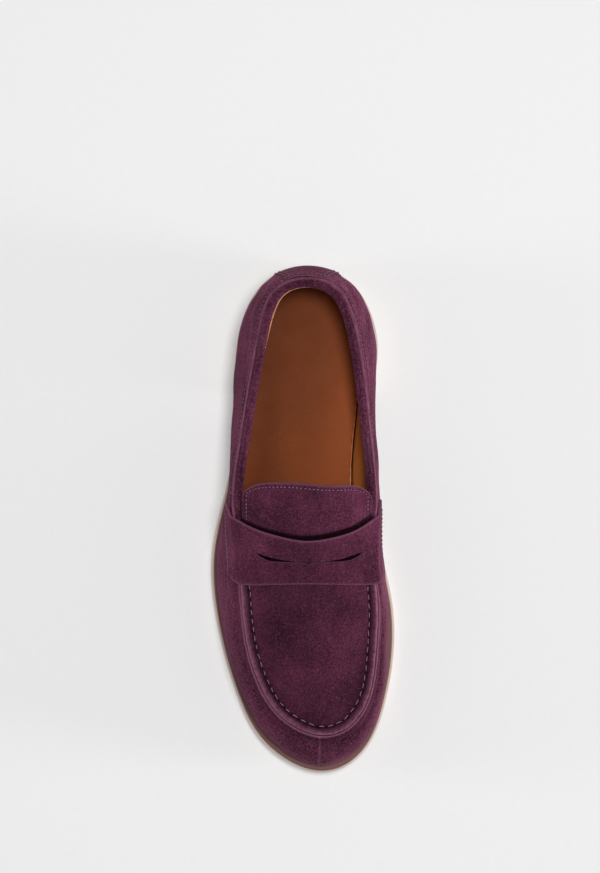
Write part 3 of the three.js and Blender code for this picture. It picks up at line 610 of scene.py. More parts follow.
def sheet(name, grids, looks, tone=None, bevel=0.35, folded=False):
    """A sheet between two grids. looks are those of its face, its back and its cut edge.

    A folded sheet meets itself along its last column, and has no cut edge there.
    """
    shape = grids[0].shape[:2]
    faces, kinds = sheet_faces(*shape, folded)
    front = np.zeros(shape) if tone is None else tone
    return make_object(name, stack_points(grids), faces, looks, kinds,
                       np.stack([front, np.zeros(shape)]), bevel)


def angles(sides):
    return np.linspace(0, 2 * math.pi, sides, endpoint=False)


def tube_points(centres, across, up, sides):
    """Rings round centres: across and up are the half axes at each centre."""
    angle = angles(sides)[:, None]
    rings = (centres[..., None, :] + across[..., None, :] * np.cos(angle)
             + up[..., None, :] * np.sin(angle))
    return rings.reshape(-1, 3)


def tube_faces(rings, sides, count=1):
    """The sides and ends of tubes whose points come ring by ring."""
    grid = np.arange(rings * sides).reshape(rings, sides)
    one = cells(closed_round(grid)).tolist() + grid[[0, -1]].tolist()
    return [[k * grid.size + i for i in face] for k in range(count) for face in one]


def run_along(line):
    return np.concatenate([[0], np.cumsum(np.linalg.norm(np.diff(line, axis=0), axis=1))])


def stitch_lines(rng, path, normals, pitch, length):
    """The middle line of each stitch, and the leather's normals along it."""
    run = run_along(path)
    count = max(1, int(run[-1] / pitch))
    middle = (np.arange(count) + 0.5) * pitch + rng.uniform(-0.09, 0.09, count) * pitch
    span = length * (1 + rng.uniform(-0.2, 0.1, count))
    where = middle[:, None] + STITCH_RUN[None] * span[:, None] / 2
    centre, normal = (np.stack([np.interp(where, run, line[:, k]) for k in range(3)], -1)
                      for line in (path, normals))
    return centre, unit(normal)


def stitches(name, path, normals, size, look, seed):
    """A row of separate stitches along a path: each one dives into the leather at both ends."""
    pitch, length, radius, lift = size
    rng = np.random.default_rng(seed)
    centre, normal = stitch_lines(rng, path, normals, pitch, length)
    side = np.cross(unit(np.gradient(centre, axis=1)), normal)
    t = STITCH_RUN
    rise = (1 - np.abs(t) ** 3) * (lift + radius) - radius * 1.1 * np.abs(t) ** 6
    slant = rng.uniform(-0.12, 0.12, len(centre))[:, None] * t[None] * length / 2
    centre = centre + normal * rise[None, :, None] + side * slant[..., None]
    swell = (radius * (0.55 + 0.45 * (1 - t ** 4)))[None, :, None]
    points = tube_points(centre, side * swell, normal * swell, THREAD_SIDES)
    faces = tube_faces(len(t), THREAD_SIDES, len(centre))
    return make_object(name, points, faces, [look])


def join(pieces):
    """Joins several objects into the first one."""
    if len(pieces) > 1:
        with bpy.context.temp_override(active_object=pieces[0], selected_editable_objects=pieces,
                                       object=pieces[0], selected_objects=pieces):
            bpy.ops.object.join()
    return pieces[0]


# ---- Sole unit ----
# Profiles from bottom to top: how far inside the sole's edge, and how high above the base.
OUTSOLE_PROFILE = [[1.2, 0], [0.55, 0.25], [0.2, 0.9], [0.12, 2.0], [0.1, 3.6], [0.02, 5.2],
                   [0.05, 6.0], [0.25, 6.4], [0.7, OUTSOLE]]
WELT_PROFILE = [[2.1, 0], [1.7, 0.3], [1.55, 1.0], [1.55, 2.3], [1.7, 3.0], [2.3, MIDSOLE]]
WELT_INSIDE = [[-1.0, MIDSOLE], [1.5, MIDSOLE]]  # from the feather line
BLOCK_BASE = TOP_PIECE + GAP
BLOCK_TOP = HEEL_SEAT - GAP
BLOCK_PROFILE = [[0.9, BLOCK_BASE], [0.55, BLOCK_BASE + 0.4], [0.5, BLOCK_BASE + 1.0],
                 [0.5, BLOCK_TOP - 0.8], [0.8, BLOCK_TOP]]
TOP_PIECE_PROFILE = [[1.7, 0], [1.1, 0.25], [0.8, 0.9], [0.75, TOP_PIECE - 0.6], [1.0, TOP_PIECE]]
FOOTBED_PROFILE = [[FOOTBED_INSET + 0.3, -1.2], [FOOTBED_INSET, -0.9], [FOOTBED_INSET, -0.3],
                   [FOOTBED_INSET + 0.5, 0]]
# Radius and height
NAIL_HOLE = [[0, -1], [2.6, -1], [2.6, 2.2], [1.4, 2.2], [1.4, 6], [0, 6]]
NAIL = [[0, 0.6], [1.6, 0.62], [2.1, 0.8], [2.2, 1.1], [2.05, 1.6], [1.2, 1.8], [1, 2.1],
        [1, 11.2], [0.5, 12.0], [0, 12.2]]
GROOVES = 6
GROOVE_LOW, GROOVE_HIGH = (-33, -1.2, -1), (37, 1.2, 1.5)


def rim(us, column, distance, height):
    """A line round the shoe, inside its edge or its feather line, at a height that follows y."""
    flat = inset(us, column, distance)
    return np.concatenate([flat, height(flat[:, 1])[:, None]], 1)


def lifted(base, extra):
    return lambda y: base(y) + extra


def ground(y):
    return np.zeros(np.shape(y))


class Rim:
    """One line of a slab's profile, cut off straight in front of y = front."""

    def __init__(self, column, distance, height, front):
        self.column, self.distance, self.height, self.front = column, distance, height, front

    def line(self, us):
        points = rim(us, self.column, self.distance, self.height)
        if self.front is not None:
            points[:, 1] = np.maximum(points[:, 1], self.front)
        return points

    def halves(self, us):
        return self.line(us), self.line(TURN - us)


def rims(profile, base, column=SOLE, front=None):
    return [Rim(column, distance, lifted(base, rise), front) for distance, rise in profile]


def filled(halves, share, height):
    """Points from a line's lateral half across to its medial half."""
    left, right = halves
    points = left[:, None] * (1 - share[None, :, None]) + right[:, None] * share[None, :, None]
    points[..., 2] = height(points[..., 1])
    return points


def slab(name, lines, looks, sink=None, steps=210, columns=26, last=TOE, shade=None):
    """A plate between the lateral and medial halves of its rims, listed from bottom to top.

    looks are those of the top, the side and the bottom. sink lowers its top by a function of
    the place across it, from -1 to 1, and of the points there. shade gives the top its tone.
    """
    us = np.linspace(0, last, steps)
    share = np.linspace(0, 1, columns)
    place = 2 * share[None] - 1
    halves = [line.halves(us) for line in lines]
    bottom = filled(halves[0], share, lines[0].height)
    top = filled(halves[-1], share, lines[-1].height)
    if sink is not None:
        top[..., 2] -= sink(place, top)
    grids = [top, bottom]
    for side, column in ((0, 0), (1, -1)):
        between = [pair[side] for pair in halves[1:-1]]
        grids.append(np.stack([bottom[:, column], *between, top[:, column]], 1))
    faces, kinds, start = [], [], 0
    for grid, kind in zip(grids, (0, 2, 1, 1)):
        index = np.arange(start, start + grid[..., 0].size).reshape(grid.shape[:2])
        start += index.size
        faces.append(cells(index)[:, ::-1] if kind == 2 else cells(index))
        kinds.append(np.full(len(faces[-1]), kind))
    tone = np.zeros(start)
    if shade is not None:
        tone[:top[..., 0].size] = shade(place, top).ravel()
    return make_object(name, stack_points(grids), np.concatenate(faces), looks,
                       np.concatenate(kinds), tone)


def drill(piece, cutters):
    """Cuts closed tool meshes out of a piece and removes them."""
    bpy.context.view_layer.update()
    for tool in cutters:
        cut = piece.modifiers.new("cut", "BOOLEAN")
        cut.object = tool
        cut.operation = "DIFFERENCE"
        cut.solver = "EXACT"
    graph = bpy.context.evaluated_depsgraph_get()
    mesh = bpy.data.meshes.new_from_object(piece.evaluated_get(graph))
    piece.modifiers.clear()
    piece.data = mesh
    for tool in cutters:
        bpy.data.objects.remove(tool)


def turned(name, outline, x, y, look):
    """A solid of revolution about an upright axis; its outline starts and ends on the axis."""
    angle = angles(32)
    rings = [np.stack([x + r * np.cos(angle), y + r * np.sin(angle), z + 0 * angle], 1)
             for r, z in outline]
    grid = np.arange(len(outline) * len(angle)).reshape(len(outline), -1)
    return make_object(name, np.concatenate(rings), cells(closed_round(grid))[:, BACKWARDS], [look])


def groove_tool(y):
    (x0, y0, z0), (x1, y1, z1) = GROOVE_LOW, GROOVE_HIGH
    corners = [[a, y + b, c] for a in (x0, x1) for b in (y0, y1) for c in (z0, z1)]
    faces = [[0, 1, 3, 2], [4, 6, 7, 5], [0, 4, 5, 1], [2, 3, 7, 6], [0, 2, 6, 4], [1, 5, 7, 3]]
    return make_object("groove_tool", corners, faces, ["outsole"])


def cup(v, points):
    """The footbed rises a little towards its edges, most round the heel."""
    y = points[..., 1]
    height = lerp(0.2, 0.75, smooth(y, -60, 80))
    edge = np.abs(v) ** 3
    heel = np.clip((y - 90) / 48, 0, 1) ** 3
    return height * (1 - np.sqrt(np.clip(edge ** 2 + heel ** 2, 0, 1)))


def footbed_painted_light(v, points):
    """Painted light on the footbed: painted shade under the heel and beside the lateral wall,
    painted light over the middle and towards the medial side.
    """
    heel = smooth(points[..., 1], 30, 135)
    waist = 1 - smooth(points[..., 1], 10, 85)
    tone = -0.24 * heel - 0.3 * hump(v, -0.66, 0.32) * (1 - 0.5 * heel) + 0.36 * smooth(v, 0.0, 0.8)
    return tone + 0.16 * waist * smooth(v, -0.6, 0) + 0.3 * (1 - waist) * smooth(v, 0.5, 0.95)


def soles():
    outsole = slab("outsole_rubber", rims(OUTSOLE_PROFILE, underside), ["outsole"] * 3)
    drill(outsole, [groove_tool(y) for y in np.linspace(FLAT_REAR - 6, FLAT_FRONT + 6, GROOVES)])
    finish_piece(outsole, ["outsole"])
    lines = rims(WELT_PROFILE, midsole_base) + rims(WELT_INSIDE, midsole_base, FOOT)
    finish_piece(slab("midsole_leather", lines, ["welt"] * 3), ["midsole"])


def heel():
    last = crossing(HEEL_BREAST, SOLE, 2, 4)
    block = slab("heel_block_rubber", rims(BLOCK_PROFILE, ground, front=HEEL_BREAST),
                 ["outsole"] * 3, last=last, steps=70)
    finish_piece(block, ["heel_block"])
    top_piece = slab("heel_top_piece_rubber", rims(TOP_PIECE_PROFILE, ground, front=HEEL_BREAST),
                     ["heel"] * 3, last=last, steps=70)
    drill(top_piece, [turned("hole_tool", NAIL_HOLE, x, y, "heel") for x, y in NAILS])
    finish_piece(top_piece, ["heel_top_piece"])
    for i, (x, y) in enumerate(NAILS, 1):
        nail = turned(f"heel_nail_{i}_brass", NAIL, x, y, "brass")
        finish_piece(nail, [f"heel_nail_{i}"])


def footbed():
    top = lifted(feather, FOOTBED_TOP)
    piece = slab("footbed_leather", rims(FOOTBED_PROFILE, top, FOOT),
                 ["footbed", "lining", "lining"], sink=cup, columns=60, shade=footbed_painted_light)
    finish_piece(piece, ["footbed"])


# ---- Upper ----
UNDER = 8, 4.5, 2.2, 1.0  # where the turned-under margin is bent, inside the feather line
SIDE_HEIGHTS = np.concatenate([[0.03, 0.06, 0.1], np.linspace(0.15, 0.8, 20),
                               np.linspace(0.815, 1, 16)])
# Distances from the apron's lip at which it has columns; the lining starts at the ninth.
LIP_COLUMNS = np.array([0, 0.35, 0.7, 1.05, 1.4, 1.75, 2.1, 2.5,
                        2.9, 3.3, 3.8, 4.4, 5.2, 6.2, 7.5, 9])
SEAM_DISTANCE = 5.3
SPINE_X = 10


def behind_to_front(u):
    """0 behind the end of the collar roll and 1 in front of it."""
    near = np.minimum(np.abs(u), TURN - u)
    return smooth(near, 5.15, 5.4)


def wall_length(u):
    """Millimetres of wall for one unit of h near its top."""
    return np.linalg.norm(wall_face(u, 1.0) - wall_face(u, 0.8), axis=-1) / 0.2


class SidePlaces:
    """What the relief and the tone of one side depend on. Its distances are in millimetres."""

    def __init__(self, us, u, h, points):
        self.h = h
        self.below = (1 - h) * wall_length(us)[None]
        self.front = behind_to_front(us)[None]
        self.toe = np.abs(u - TOE) * TOE_STEP
        self.heel = np.minimum(u, TURN - u) * HEEL_STEP
        self.calm = smooth(h, 0.02, 0.2) * (1 - smooth(h, 0.9, 0.97) * (1 - 0.5 * self.front))
        self.slack = lerp(0.25, 1.0, smooth(points[..., 1], -20, 30))
        self.streak = ripple(points * BRUSHED, 11, 14)
        self.fold = ripple(points * BRUSHED, 26, 15)


def side_relief(at, points):
    """How far a side stands out: its lip, its hem, its seams and its uneven leather."""
    lip = -0.9 * hump(at.below, 5.0, 2.3) + 0.35 * hump(at.below, 0, 1.6)
    hem = -0.5 * hump(at.below, 5.2, 0.8) - 0.55 * smooth(-at.below, -1.1, 0)
    toe_seam = -0.35 * np.clip(1 - at.toe / 1.4, 0, 1) ** 2
    heel_seam = -0.4 * np.clip(1 - at.heel / 1.7, 0, 1) ** 2
    rough = 0.34 * ripple(points, 38, 11) + 0.16 * ripple(points, 15, 12)
    rough = rough + 0.05 * ripple(points, 5, 13) + at.slack * (0.3 * at.streak + 0.5 * at.fold)
    return at.front * lip + (1 - at.front) * hem + toe_seam + heel_seam + at.calm * rough


def side_tone(at, points, normal):
    below, toe, patchiness = at.below, at.toe, ripple(points, 6, 16)
    # The lip's crest is paler, part worn nap and part painted highlight; painted shade lies just
    # below it and in its groove lower down.
    lip = 0.9 * hump(below, 0, 0.8) - 0.5 * hump(below, 2.4, 1.0) - 0.2 * hump(below, 5, 2)
    # Behind, the top edge is paler, part worn and part painted highlight, with painted shade in the
    # groove under it.
    hem = (0.5 + 0.3 * patchiness) * hump(below, 0.5, 0.6) - 0.3 * hump(below, 5.2, 0.7)
    tone = at.front * lip + (1 - at.front) * hem
    tone = tone + at.calm * at.slack * (0.13 * at.streak + 0.1 * at.fold)
    # Steep walls are painted paler in place of sheen; the foot of the wall is painted dark as shade
    # in the crease above the sole.
    steep = smooth(1 - np.abs(normal[..., 2]), 0.55, 0.95)
    tone = tone + 0.1 * steep * smooth(at.h, 0.05, 0.3) - 0.3 * (1 - smooth(at.h, 0.02, 0.1))
    # The toe seam is painted pale as a highlight with painted shade beside it; the knot at its top
    # is painted pale as a highlight.
    tone = tone + 0.5 * hump(toe, 0, 0.6) - 0.2 * hump(toe, 1.6, 0.7)
    return tone + at.front * 0.6 * hump(toe, 0, 1.8) * hump(below, 0, 1.4)


def side_grid(us, depth):
    """One side of the upper at a depth: rows are stations, columns run from margin to lip."""
    bent = (MARGIN, UNDER[0], UNDER[1], UNDER[2] + depth, UNDER[3] + depth * 0.6)
    under = np.stack([rim(us, FOOT, distance, lifted(feather, depth)) for distance in bent])
    h, u = np.broadcast_arrays(SIDE_HEIGHTS[:, None], us[None])
    points = wall(u, h, depth)
    normal = wall_normals(u, h)
    at = SidePlaces(us, u, h, points)
    points = points + normal * side_relief(at, points)[..., None]
    tone = np.concatenate([np.zeros(under.shape[:2]), side_tone(at, points, normal)])
    return np.concatenate([under, points]).transpose(1, 0, 2), tone.T


def side(name, first, last, node):
    us = np.linspace(first, last, 230)
    near_toe = TOE + np.sign(us.mean() - TOE) * np.linspace(SEAM, 0.1, 8)
    us = np.unique(np.concatenate([us, near_toe]))
    outer, tone = side_grid(us, 0.0)
    inner, _ = side_grid(us, SUEDE)
    piece = sheet(name, (outer, inner), ["suede", "flesh", "edge"], tone, 0.12)
    finish_piece(piece, [node])


def apron_lines(us):
    """The apron's lip and the spine that it fans in to."""
    row, opposite = station(us), station(TURN - us)
    share = (np.abs(us - TOE) / (TOE - APRON_REAR)) ** 1.15
    spine = np.stack([
        lerp(SPINE_X, (row[:, SHOULDER] + opposite[:, SHOULDER]) / 2, np.minimum(1, share * 2)),
        lerp(SPINE_TOE, station(np.array(APRON_REAR))[SHOULDER + 1], share),
    ], -1)
    raw = 0.45 + 0.15 * ripple(row[:, SHOULDER:], 7, 25)[:, None]
    return row[:, SHOULDER:SHOULDER + 2] - edge_normal(us, SHOULDER) * raw, spine


def apron_tone(us, d, points, stand):
    patchiness = ripple(points, 3.5, 26)
    lateral = smooth(TOE - us, 0, 1.5)[:, None]
    # The lip's crest and band are paler, part worn nap and part painted highlight, and paler still
    # on the lateral side as painted light; painted shade fills the groove at the stitches.
    tone = stand * ((1.0 + 0.1 * lateral + 0.4 * patchiness) * hump(d, 0.3, 0.7)
                    + (0.34 + 0.06 * lateral + 0.2 * patchiness) * hump(d, 1.8, 1.1)
                    - (0.85 + 0.2 * patchiness) * hump(d, 4.7, 0.8))
    # The knot at the toe is painted pale as a highlight.
    knot = hump((us[:, None] - TOE) * TOE_STEP, 0, 1.8) * hump(d, 0.6, 1.4)
    return tone + 0.6 * knot


def apron_grid(us, depth, lip_columns=LIP_COLUMNS):
    """Points, tone and distance from the lip. Rows are stations, columns go in to the spine."""
    edge, spine = apron_lines(us)
    length = np.linalg.norm(edge - spine, axis=-1)[:, None]
    far = np.linspace(0, 1, 22)[1:]
    near = np.broadcast_to(lip_columns[None], (len(us), len(lip_columns)))
    d = np.concatenate([near, lip_columns[-1] + (length - lip_columns[-1]) * far[None]], 1)
    r = 1 - d / length
    flat = spine[:, None] + (edge - spine)[:, None] * r[..., None]
    shoulder = station(us)[:, SHOULDER:]
    stand = 1 - smooth(shoulder[:, 1:2], -39, -31)
    foot = shoulder[:, 2:] - RIDGE * stand
    crown = foot + (top_line(flat[..., 1]) - foot) * (1 - np.clip(r, 0, 1) ** TOP_SQUARENESS)
    phase = np.cos(2 * math.pi * run_along(edge) / APRON_STITCH[0])[:, None]
    lip = 1 - smooth(d, 1.1, 4.1 + 0.35 * phase)
    z = crown + lip * (RIDGE + 0.2) * stand - depth
    if depth == 0:
        pucker = -0.3 * phase * hump(d, 3.0, 1.2) - 0.35 * hump(d, 4.9, 0.8)
        z = z - 0.3 * hump(d, 0, 0.3) + stand * pucker
    points = np.concatenate([flat, z[..., None]], -1)
    rough = 0.4 * ripple(points, 42, 21) + 0.18 * ripple(points, 17, 22)
    points[..., 2] += rough * smooth(d, 3, 12)
    if depth == 0:
        points[..., 2] += 0.9 * smooth(points[..., 1], -41, -36.5) * smooth(d, 2, 6)
    return points, apron_tone(us, d, points, stand), d


def apron():
    us = np.linspace(APRON_REAR, TURN - APRON_REAR, 300)
    outer, tone, _ = apron_grid(us, 0.0)
    inner, _, _ = apron_grid(us, SUEDE)
    piece = sheet("apron_suede", (outer, inner), ["apron", "flesh", "edge"], tone, 0.3, folded=True)
    finish_piece(piece, ["apron"])
    grids = [apron_grid(us, depth, LIP_COLUMNS[8:])[0]
             for depth in (SUEDE + GAP, SUEDE + GAP + LAYER)]
    piece = sheet("apron_lining_canvas", grids, ["canvas"] * 3, bevel=0, folded=True)
    finish_piece(piece, ["apron_lining"])


def apron_seam():
    us = np.linspace(APRON_SEAM_REAR, TURN - APRON_SEAM_REAR, 460)
    grid, _, d = apron_grid(us, 0.0)
    path = grid[np.arange(len(us)), np.argmin(np.abs(d - SEAM_DISTANCE), axis=1)]
    up = np.concatenate([-edge_normal(us, SHOULDER) * 0.45, np.ones((len(us), 1))], 1)
    piece = stitches("apron_stitches", path, up, APRON_STITCH, "thread", seed=31)
    finish_piece(piece, ["apron_thread"])


# ---- Strap ----
STRAP_TOP = -STRAP_LIFT - STRAP  # depths
STRAP_UNDERSIDE = -STRAP_LIFT
NOTCH_X = 3
NOTCH_DEPTH = 1.3
NOTCH_HALF = 2.0


def slit_edges(x):
    """Half the slit's opening at x, and the notch cut into its front lip."""
    inside = (x > SLIT_HALF[0][0]) & (x < SLIT_HALF[-1][0])
    half = np.where(inside, np.interp(x, *np.array(SLIT_HALF).T), 0)
    notch = NOTCH_DEPTH * np.clip(1 - np.abs(x - NOTCH_X) / NOTCH_HALF, 0, None)
    return half, notch


def strap_faces(shape, in_slit):
    """Faces of the strap in front of the slit and behind it, and the look of each."""
    index = np.arange(4 * shape[0] * shape[1]).reshape(4, *shape)
    parts = []
    for top, under in (index[:2], index[2:]):
        parts += [(cells(top), 0), (cells(under), 1),
                  (band(top[0], under[0]), 2), (band(top[-1], under[-1]), 2)]
    for k, column, chosen in ((0, 0, slice(None)), (2, -1, slice(None)),
                              (0, -1, in_slit), (2, 0, in_slit)):
        parts.append((band(index[k, :, column], index[k + 1, :, column])[chosen], 2))
    kinds = [np.full(len(faces), kind) for faces, kind in parts]
    return np.concatenate([faces for faces, _ in parts]), np.concatenate(kinds)


def strap():
    q = np.linspace(-WING, WING, 150)
    rear, front = strap_rear(q)[:, None], strap_front(q)[:, None]
    x = saddle_face(q, (rear + front)[:, 0] / 2)[:, 0]
    middle = slit_line(x)[:, None]
    half, notch = (part[:, None] for part in slit_edges(x))
    t = np.linspace(0, 1, 16)
    t = ((smooth(t, 0, 1) + t) / 2)[None]
    y_front, y_rear = lerp(front, middle - half - notch, t), lerp(middle + half, rear, t)
    loose = hump(rear - y_rear, 0, 4) * (1 - smooth(np.abs(q), 0.8, 1.1))[:, None]
    rear_lift = 0.35 * hump(y_rear, middle, 4) * (half > 0.05) + 0.7 * loose
    grids = []
    for y, lift in ((y_front, 0), (y_rear, rear_lift)):
        for depth in (STRAP_TOP, STRAP_UNDERSIDE):
            grid = saddle(np.broadcast_to(q[:, None], y.shape), y, depth)
            grid[..., 2] += 0.22 * ripple(grid, 30, 41) + 0.1 * ripple(grid, 11, 42) + lift
            grids.append(grid)
    gap = (half + notch)[:, 0]
    in_slit = ((gap[:-1] + gap[1:] > 1e-6) & (x[:-1] > SLIT_HALF[0][0] - 2)
               & (x[1:] < SLIT_HALF[-1][0] + 2))
    y = np.stack([y_front, y_front, y_rear, y_rear])
    to_end = (WING - np.abs(q))[:, None] * WING_REACH
    to_edge = np.minimum(np.minimum(np.abs(y - rear), np.abs(y - front)), to_end)
    # The cut edges are paler, and the lateral wing's edges are painted paler still as a highlight.
    tone = (0.5 + 0.3 * (q < -1))[:, None] * hump(to_edge, 0, 0.7)
    faces, kinds = strap_faces(y_front.shape, in_slit)
    piece = make_object("strap_suede", stack_points(grids), faces, ["strap", "flesh", "edge"],
                        kinds, tone, bevel=0.35)
    finish_piece(piece, ["strap"])


def strap_threads():
    for label, places in (("lateral", [-WING + 0.07]), ("medial", [WING - 0.07, WING - 0.15])):
        rows = []
        for k, place in enumerate(places):
            y = np.linspace(strap_front(place) + 2.0, strap_rear(place) - 1.6, 60)
            q = np.full(60, place)
            rows.append(stitches(f"strap_stitches_{label}", saddle(q, y, STRAP_TOP),
                                 saddle_normals(q, y), STRAP_STITCH, "dark_thread", seed=43 + k))
        finish_piece(join(rows), [f"strap_thread_{label}"])


# ---- Tongue ----
STITCH_EDGE = 0.045  # how far inside the tongue's edge the stitches run, as a share of its width


def tongue_point(t, y, depth=0.0):
    """A point of the tongue: t runs from 0 at its lateral edge to 1 at its medial edge."""
    t, y = together(t, y)
    lateral, medial = (station(u)[..., SHOULDER] for u in shoulders(y))
    free = smooth(y, -8, 3)
    left = lerp(lateral + 2, TONGUE_LATERAL, free)
    right = lerp(medial - 2, TONGUE_MEDIAL, free)
    q = 2 * (lerp(left, right, t) - lateral) / (medial - lateral) - 1
    point = saddle(q, y, depth)
    over_roll = TONGUE_OVER_ROLL * smooth(np.abs(q), 0.78, 0.95) * smooth(y, 3.5, 8)
    edge = strap_rear(q)
    hollow = 2.3 * hump(y, edge, 3.4) + 1.3 * smooth(edge - y, 2, 6)
    point[..., 2] += over_roll - hollow * smooth(y, TONGUE_START, -24)
    return point


def tongue_roughness(points, y):
    return (0.5 * ripple(points, 34, 51) + 0.14 * ripple(points, 12, 52)) * smooth(y, 0, 12)


def tongue_end(t, shorter=0.0):
    across = 2 * t - 1
    corner = np.clip((np.abs(across) - 0.62) / 0.36, 0, 1)
    wave = 0.5 * np.sin(across * 5.2)
    return TONGUE_END - shorter - 1.2 * across - wave - 9.5 * (1 - np.sqrt(1 - corner ** 2))


def tongue_layer(name, looks, nodes, start, shorter, depths):
    t = 0.5 - 0.49 * np.cos(np.linspace(0, math.pi, 120))
    end = tongue_end(t, shorter)[:, None]
    y = start + (end - start) * np.linspace(0, 1, 90)[None]
    grids = []
    for depth in depths:
        grid = tongue_point(np.broadcast_to(t[:, None], y.shape), y, depth)
        grid[..., 2] += tongue_roughness(grid, y)
        grids.append(grid)
    to_side = np.minimum(t, 1 - t)[:, None] * TONGUE_WIDTH
    to_edge = np.minimum(to_side, np.abs(end - y))
    tone = (0.5 * hump(to_edge, 0, 0.6) - 0.2 * hump(to_edge, 2.4, 0.6)) * smooth(y, 0, 6)
    q = grids[0][..., 0] / SHOULDER_HALF
    # Painted shade on the tongue just behind the strap's rear edge, where it dips under the strap.
    tone = tone - 1.0 * smooth(strap_rear(q) - y, -3.2, -1.9)
    piece = sheet(name, grids, looks, tone, 0.3)
    finish_piece(piece, nodes, bends=True)


def tongue():
    tongue_layer("tongue_suede", ["strap", "lining", "edge"], ["tongue_base", "tongue_flap"],
                 TONGUE_START, 0.0, (0.0, SUEDE))
    tongue_layer("tongue_lining_leather", ["lining", "lining", "edge"], ["tongue_flap_lining"],
                 -6.0, 0.4, (SUEDE + 0.1, SUEDE + 0.1 + LAYER))


def tongue_seam():
    across = np.linspace(STITCH_EDGE, 1 - STITCH_EDGE, 160)
    t = np.concatenate([np.full(40, across[0]), across, np.full(40, across[-1])])
    y = np.concatenate([np.linspace(1.0, tongue_end(across[0], 2.6), 40), tongue_end(across, 2.5),
                        np.linspace(tongue_end(across[-1], 2.6), 5.0, 40)])
    path = tongue_point(t, y)
    path[:, 2] += tongue_roughness(path, y)
    path = path[np.diff(run_along(path), prepend=-1) > 1e-4]
    piece = stitches("tongue_stitches", path, np.broadcast_to(UP, path.shape), TONGUE_STITCH,
                     "thread", seed=53)
    finish_piece(piece, ["tongue_thread"], bends=True)


# ---- Collar, backstay and linings ----
def roll_frame(us):
    """The middle of the collar roll, and the way out from it."""
    out = np.concatenate([edge_normal(us, SHOULDER), np.zeros((len(us), 1))], 1)
    return station(us)[:, SHOULDER:] - out * (ROLL_WIDTH + ROLL_TUCK) / 2, out


def swelling_model(piece, rest, held, growth):
    """A copy of a piece, CLOTH_SCALE times as large, that swells except where it is held.

    At that size Blender's cloth behaves like leather over foam.
    """
    model = new_object("swelling_model", piece.data.copy())
    model.data.vertices.foreach_set("co", rest.ravel() * CLOTH_SCALE)
    seams = model.vertex_groups.new(name="seams")
    seams.add(np.flatnonzero(held).tolist(), 1.0, "REPLACE")
    cloth = model.modifiers.new("swelling", "CLOTH").settings
    cloth.vertex_group_mass = "seams"
    cloth.quality = 5
    cloth.use_pressure = True
    cloth.uniform_pressure_force = 3.0
    cloth.shrink_min = -growth
    cloth.bending_stiffness = 0.3
    cloth.effector_weights.gravity = 0.0
    return model


def read(collection, name, width=1):
    values = np.empty(len(collection) * width)
    collection.foreach_get(name, values)
    return values if width == 1 else values.reshape(-1, width)


def puff_up(piece, growth, limit):
    """Puffs up a padded piece by cloth simulation, held where its seam line is painted dark and on
    its underside.
    """
    mesh = piece.data
    rest = read(mesh.vertices, "co", 3)
    held = ((read(mesh.vertices, "normal", 3)[:, 2] < -0.1)
            | (read(mesh.attributes["tone"].data, "value") < -0.4))
    model = swelling_model(piece, rest, held, growth)
    for step in range(1, 19):
        bpy.context.scene.frame_set(step)
    graph = bpy.context.evaluated_depsgraph_get()
    puffed = read(model.evaluated_get(graph).data.vertices, "co", 3)
    move = puffed / CLOTH_SCALE - rest
    far = np.linalg.norm(move, axis=1, keepdims=True)
    move *= np.minimum(1, limit * MM / np.maximum(far, 1e-9))
    mesh.vertices.foreach_set("co", (rest + move).ravel())
    mesh.update()
    bpy.data.objects.remove(model)
    bpy.context.scene.frame_set(1)


def collar_tone(us, centre):
    """The roll's tone: painted shade at its outer seam and over the heel, painted highlights, and
    streaks.
    """
    around = (angles(ROLL_SIDES) + math.pi) % (2 * math.pi) - math.pi
    section = (-0.9 * hump(around, 0.1, 0.42) + 0.16 * hump(around, 1.1, 0.3)
               + 0.12 * hump(around, 2.3, 0.3))
    streaks = 0.14 * ripple(centre * BRUSHED, 9, 64)
    return section[None] + (-0.26 * hump(us, 0, 1.3) - 0.08 + streaks)[:, None]


def collar():
    us = np.linspace(-COLLAR_END, COLLAR_END, 420)
    centre, out = roll_frame(us)
    tuck = smooth(np.abs(us), COLLAR_END - 0.42, COLLAR_END)[:, None]
    swell = 1 + 0.05 * ripple(centre, 26, 61) + 0.03 * ripple(centre, 9, 62)
    scale = (1 - 0.6 * tuck) * swell[:, None]
    centre = centre - UP * 2.6 * tuck
    points = tube_points(centre, out * ROLL_HALF * scale, UP * ROLL_HEIGHT / 2 * scale, ROLL_SIDES)
    piece = make_object("collar_roll_suede", points, tube_faces(len(us), ROLL_SIDES), ["suede"],
                        tone=collar_tone(us, centre))
    puff_up(piece, 0.05, 0.7)
    finish_piece(piece, ["collar_binding"])


def collar_seam():
    us = np.linspace(-4.9, 4.9, 900)
    on_backstay = 1 - smooth(np.abs(us), 0.5, 0.62)
    path = wall(us, COLLAR_SEAM, -lerp(-0.35, 1.0, on_backstay))
    piece = stitches("collar_stitches", path, wall_normals(us, COLLAR_SEAM), FINE_STITCH,
                     "dark_thread", seed=63)
    finish_piece(piece, ["collar_thread"])


def backstay_half(h):
    """Half the backstay's width, in stations."""
    return 0.68 - 0.14 * smooth(h, 0.35, 0.9)


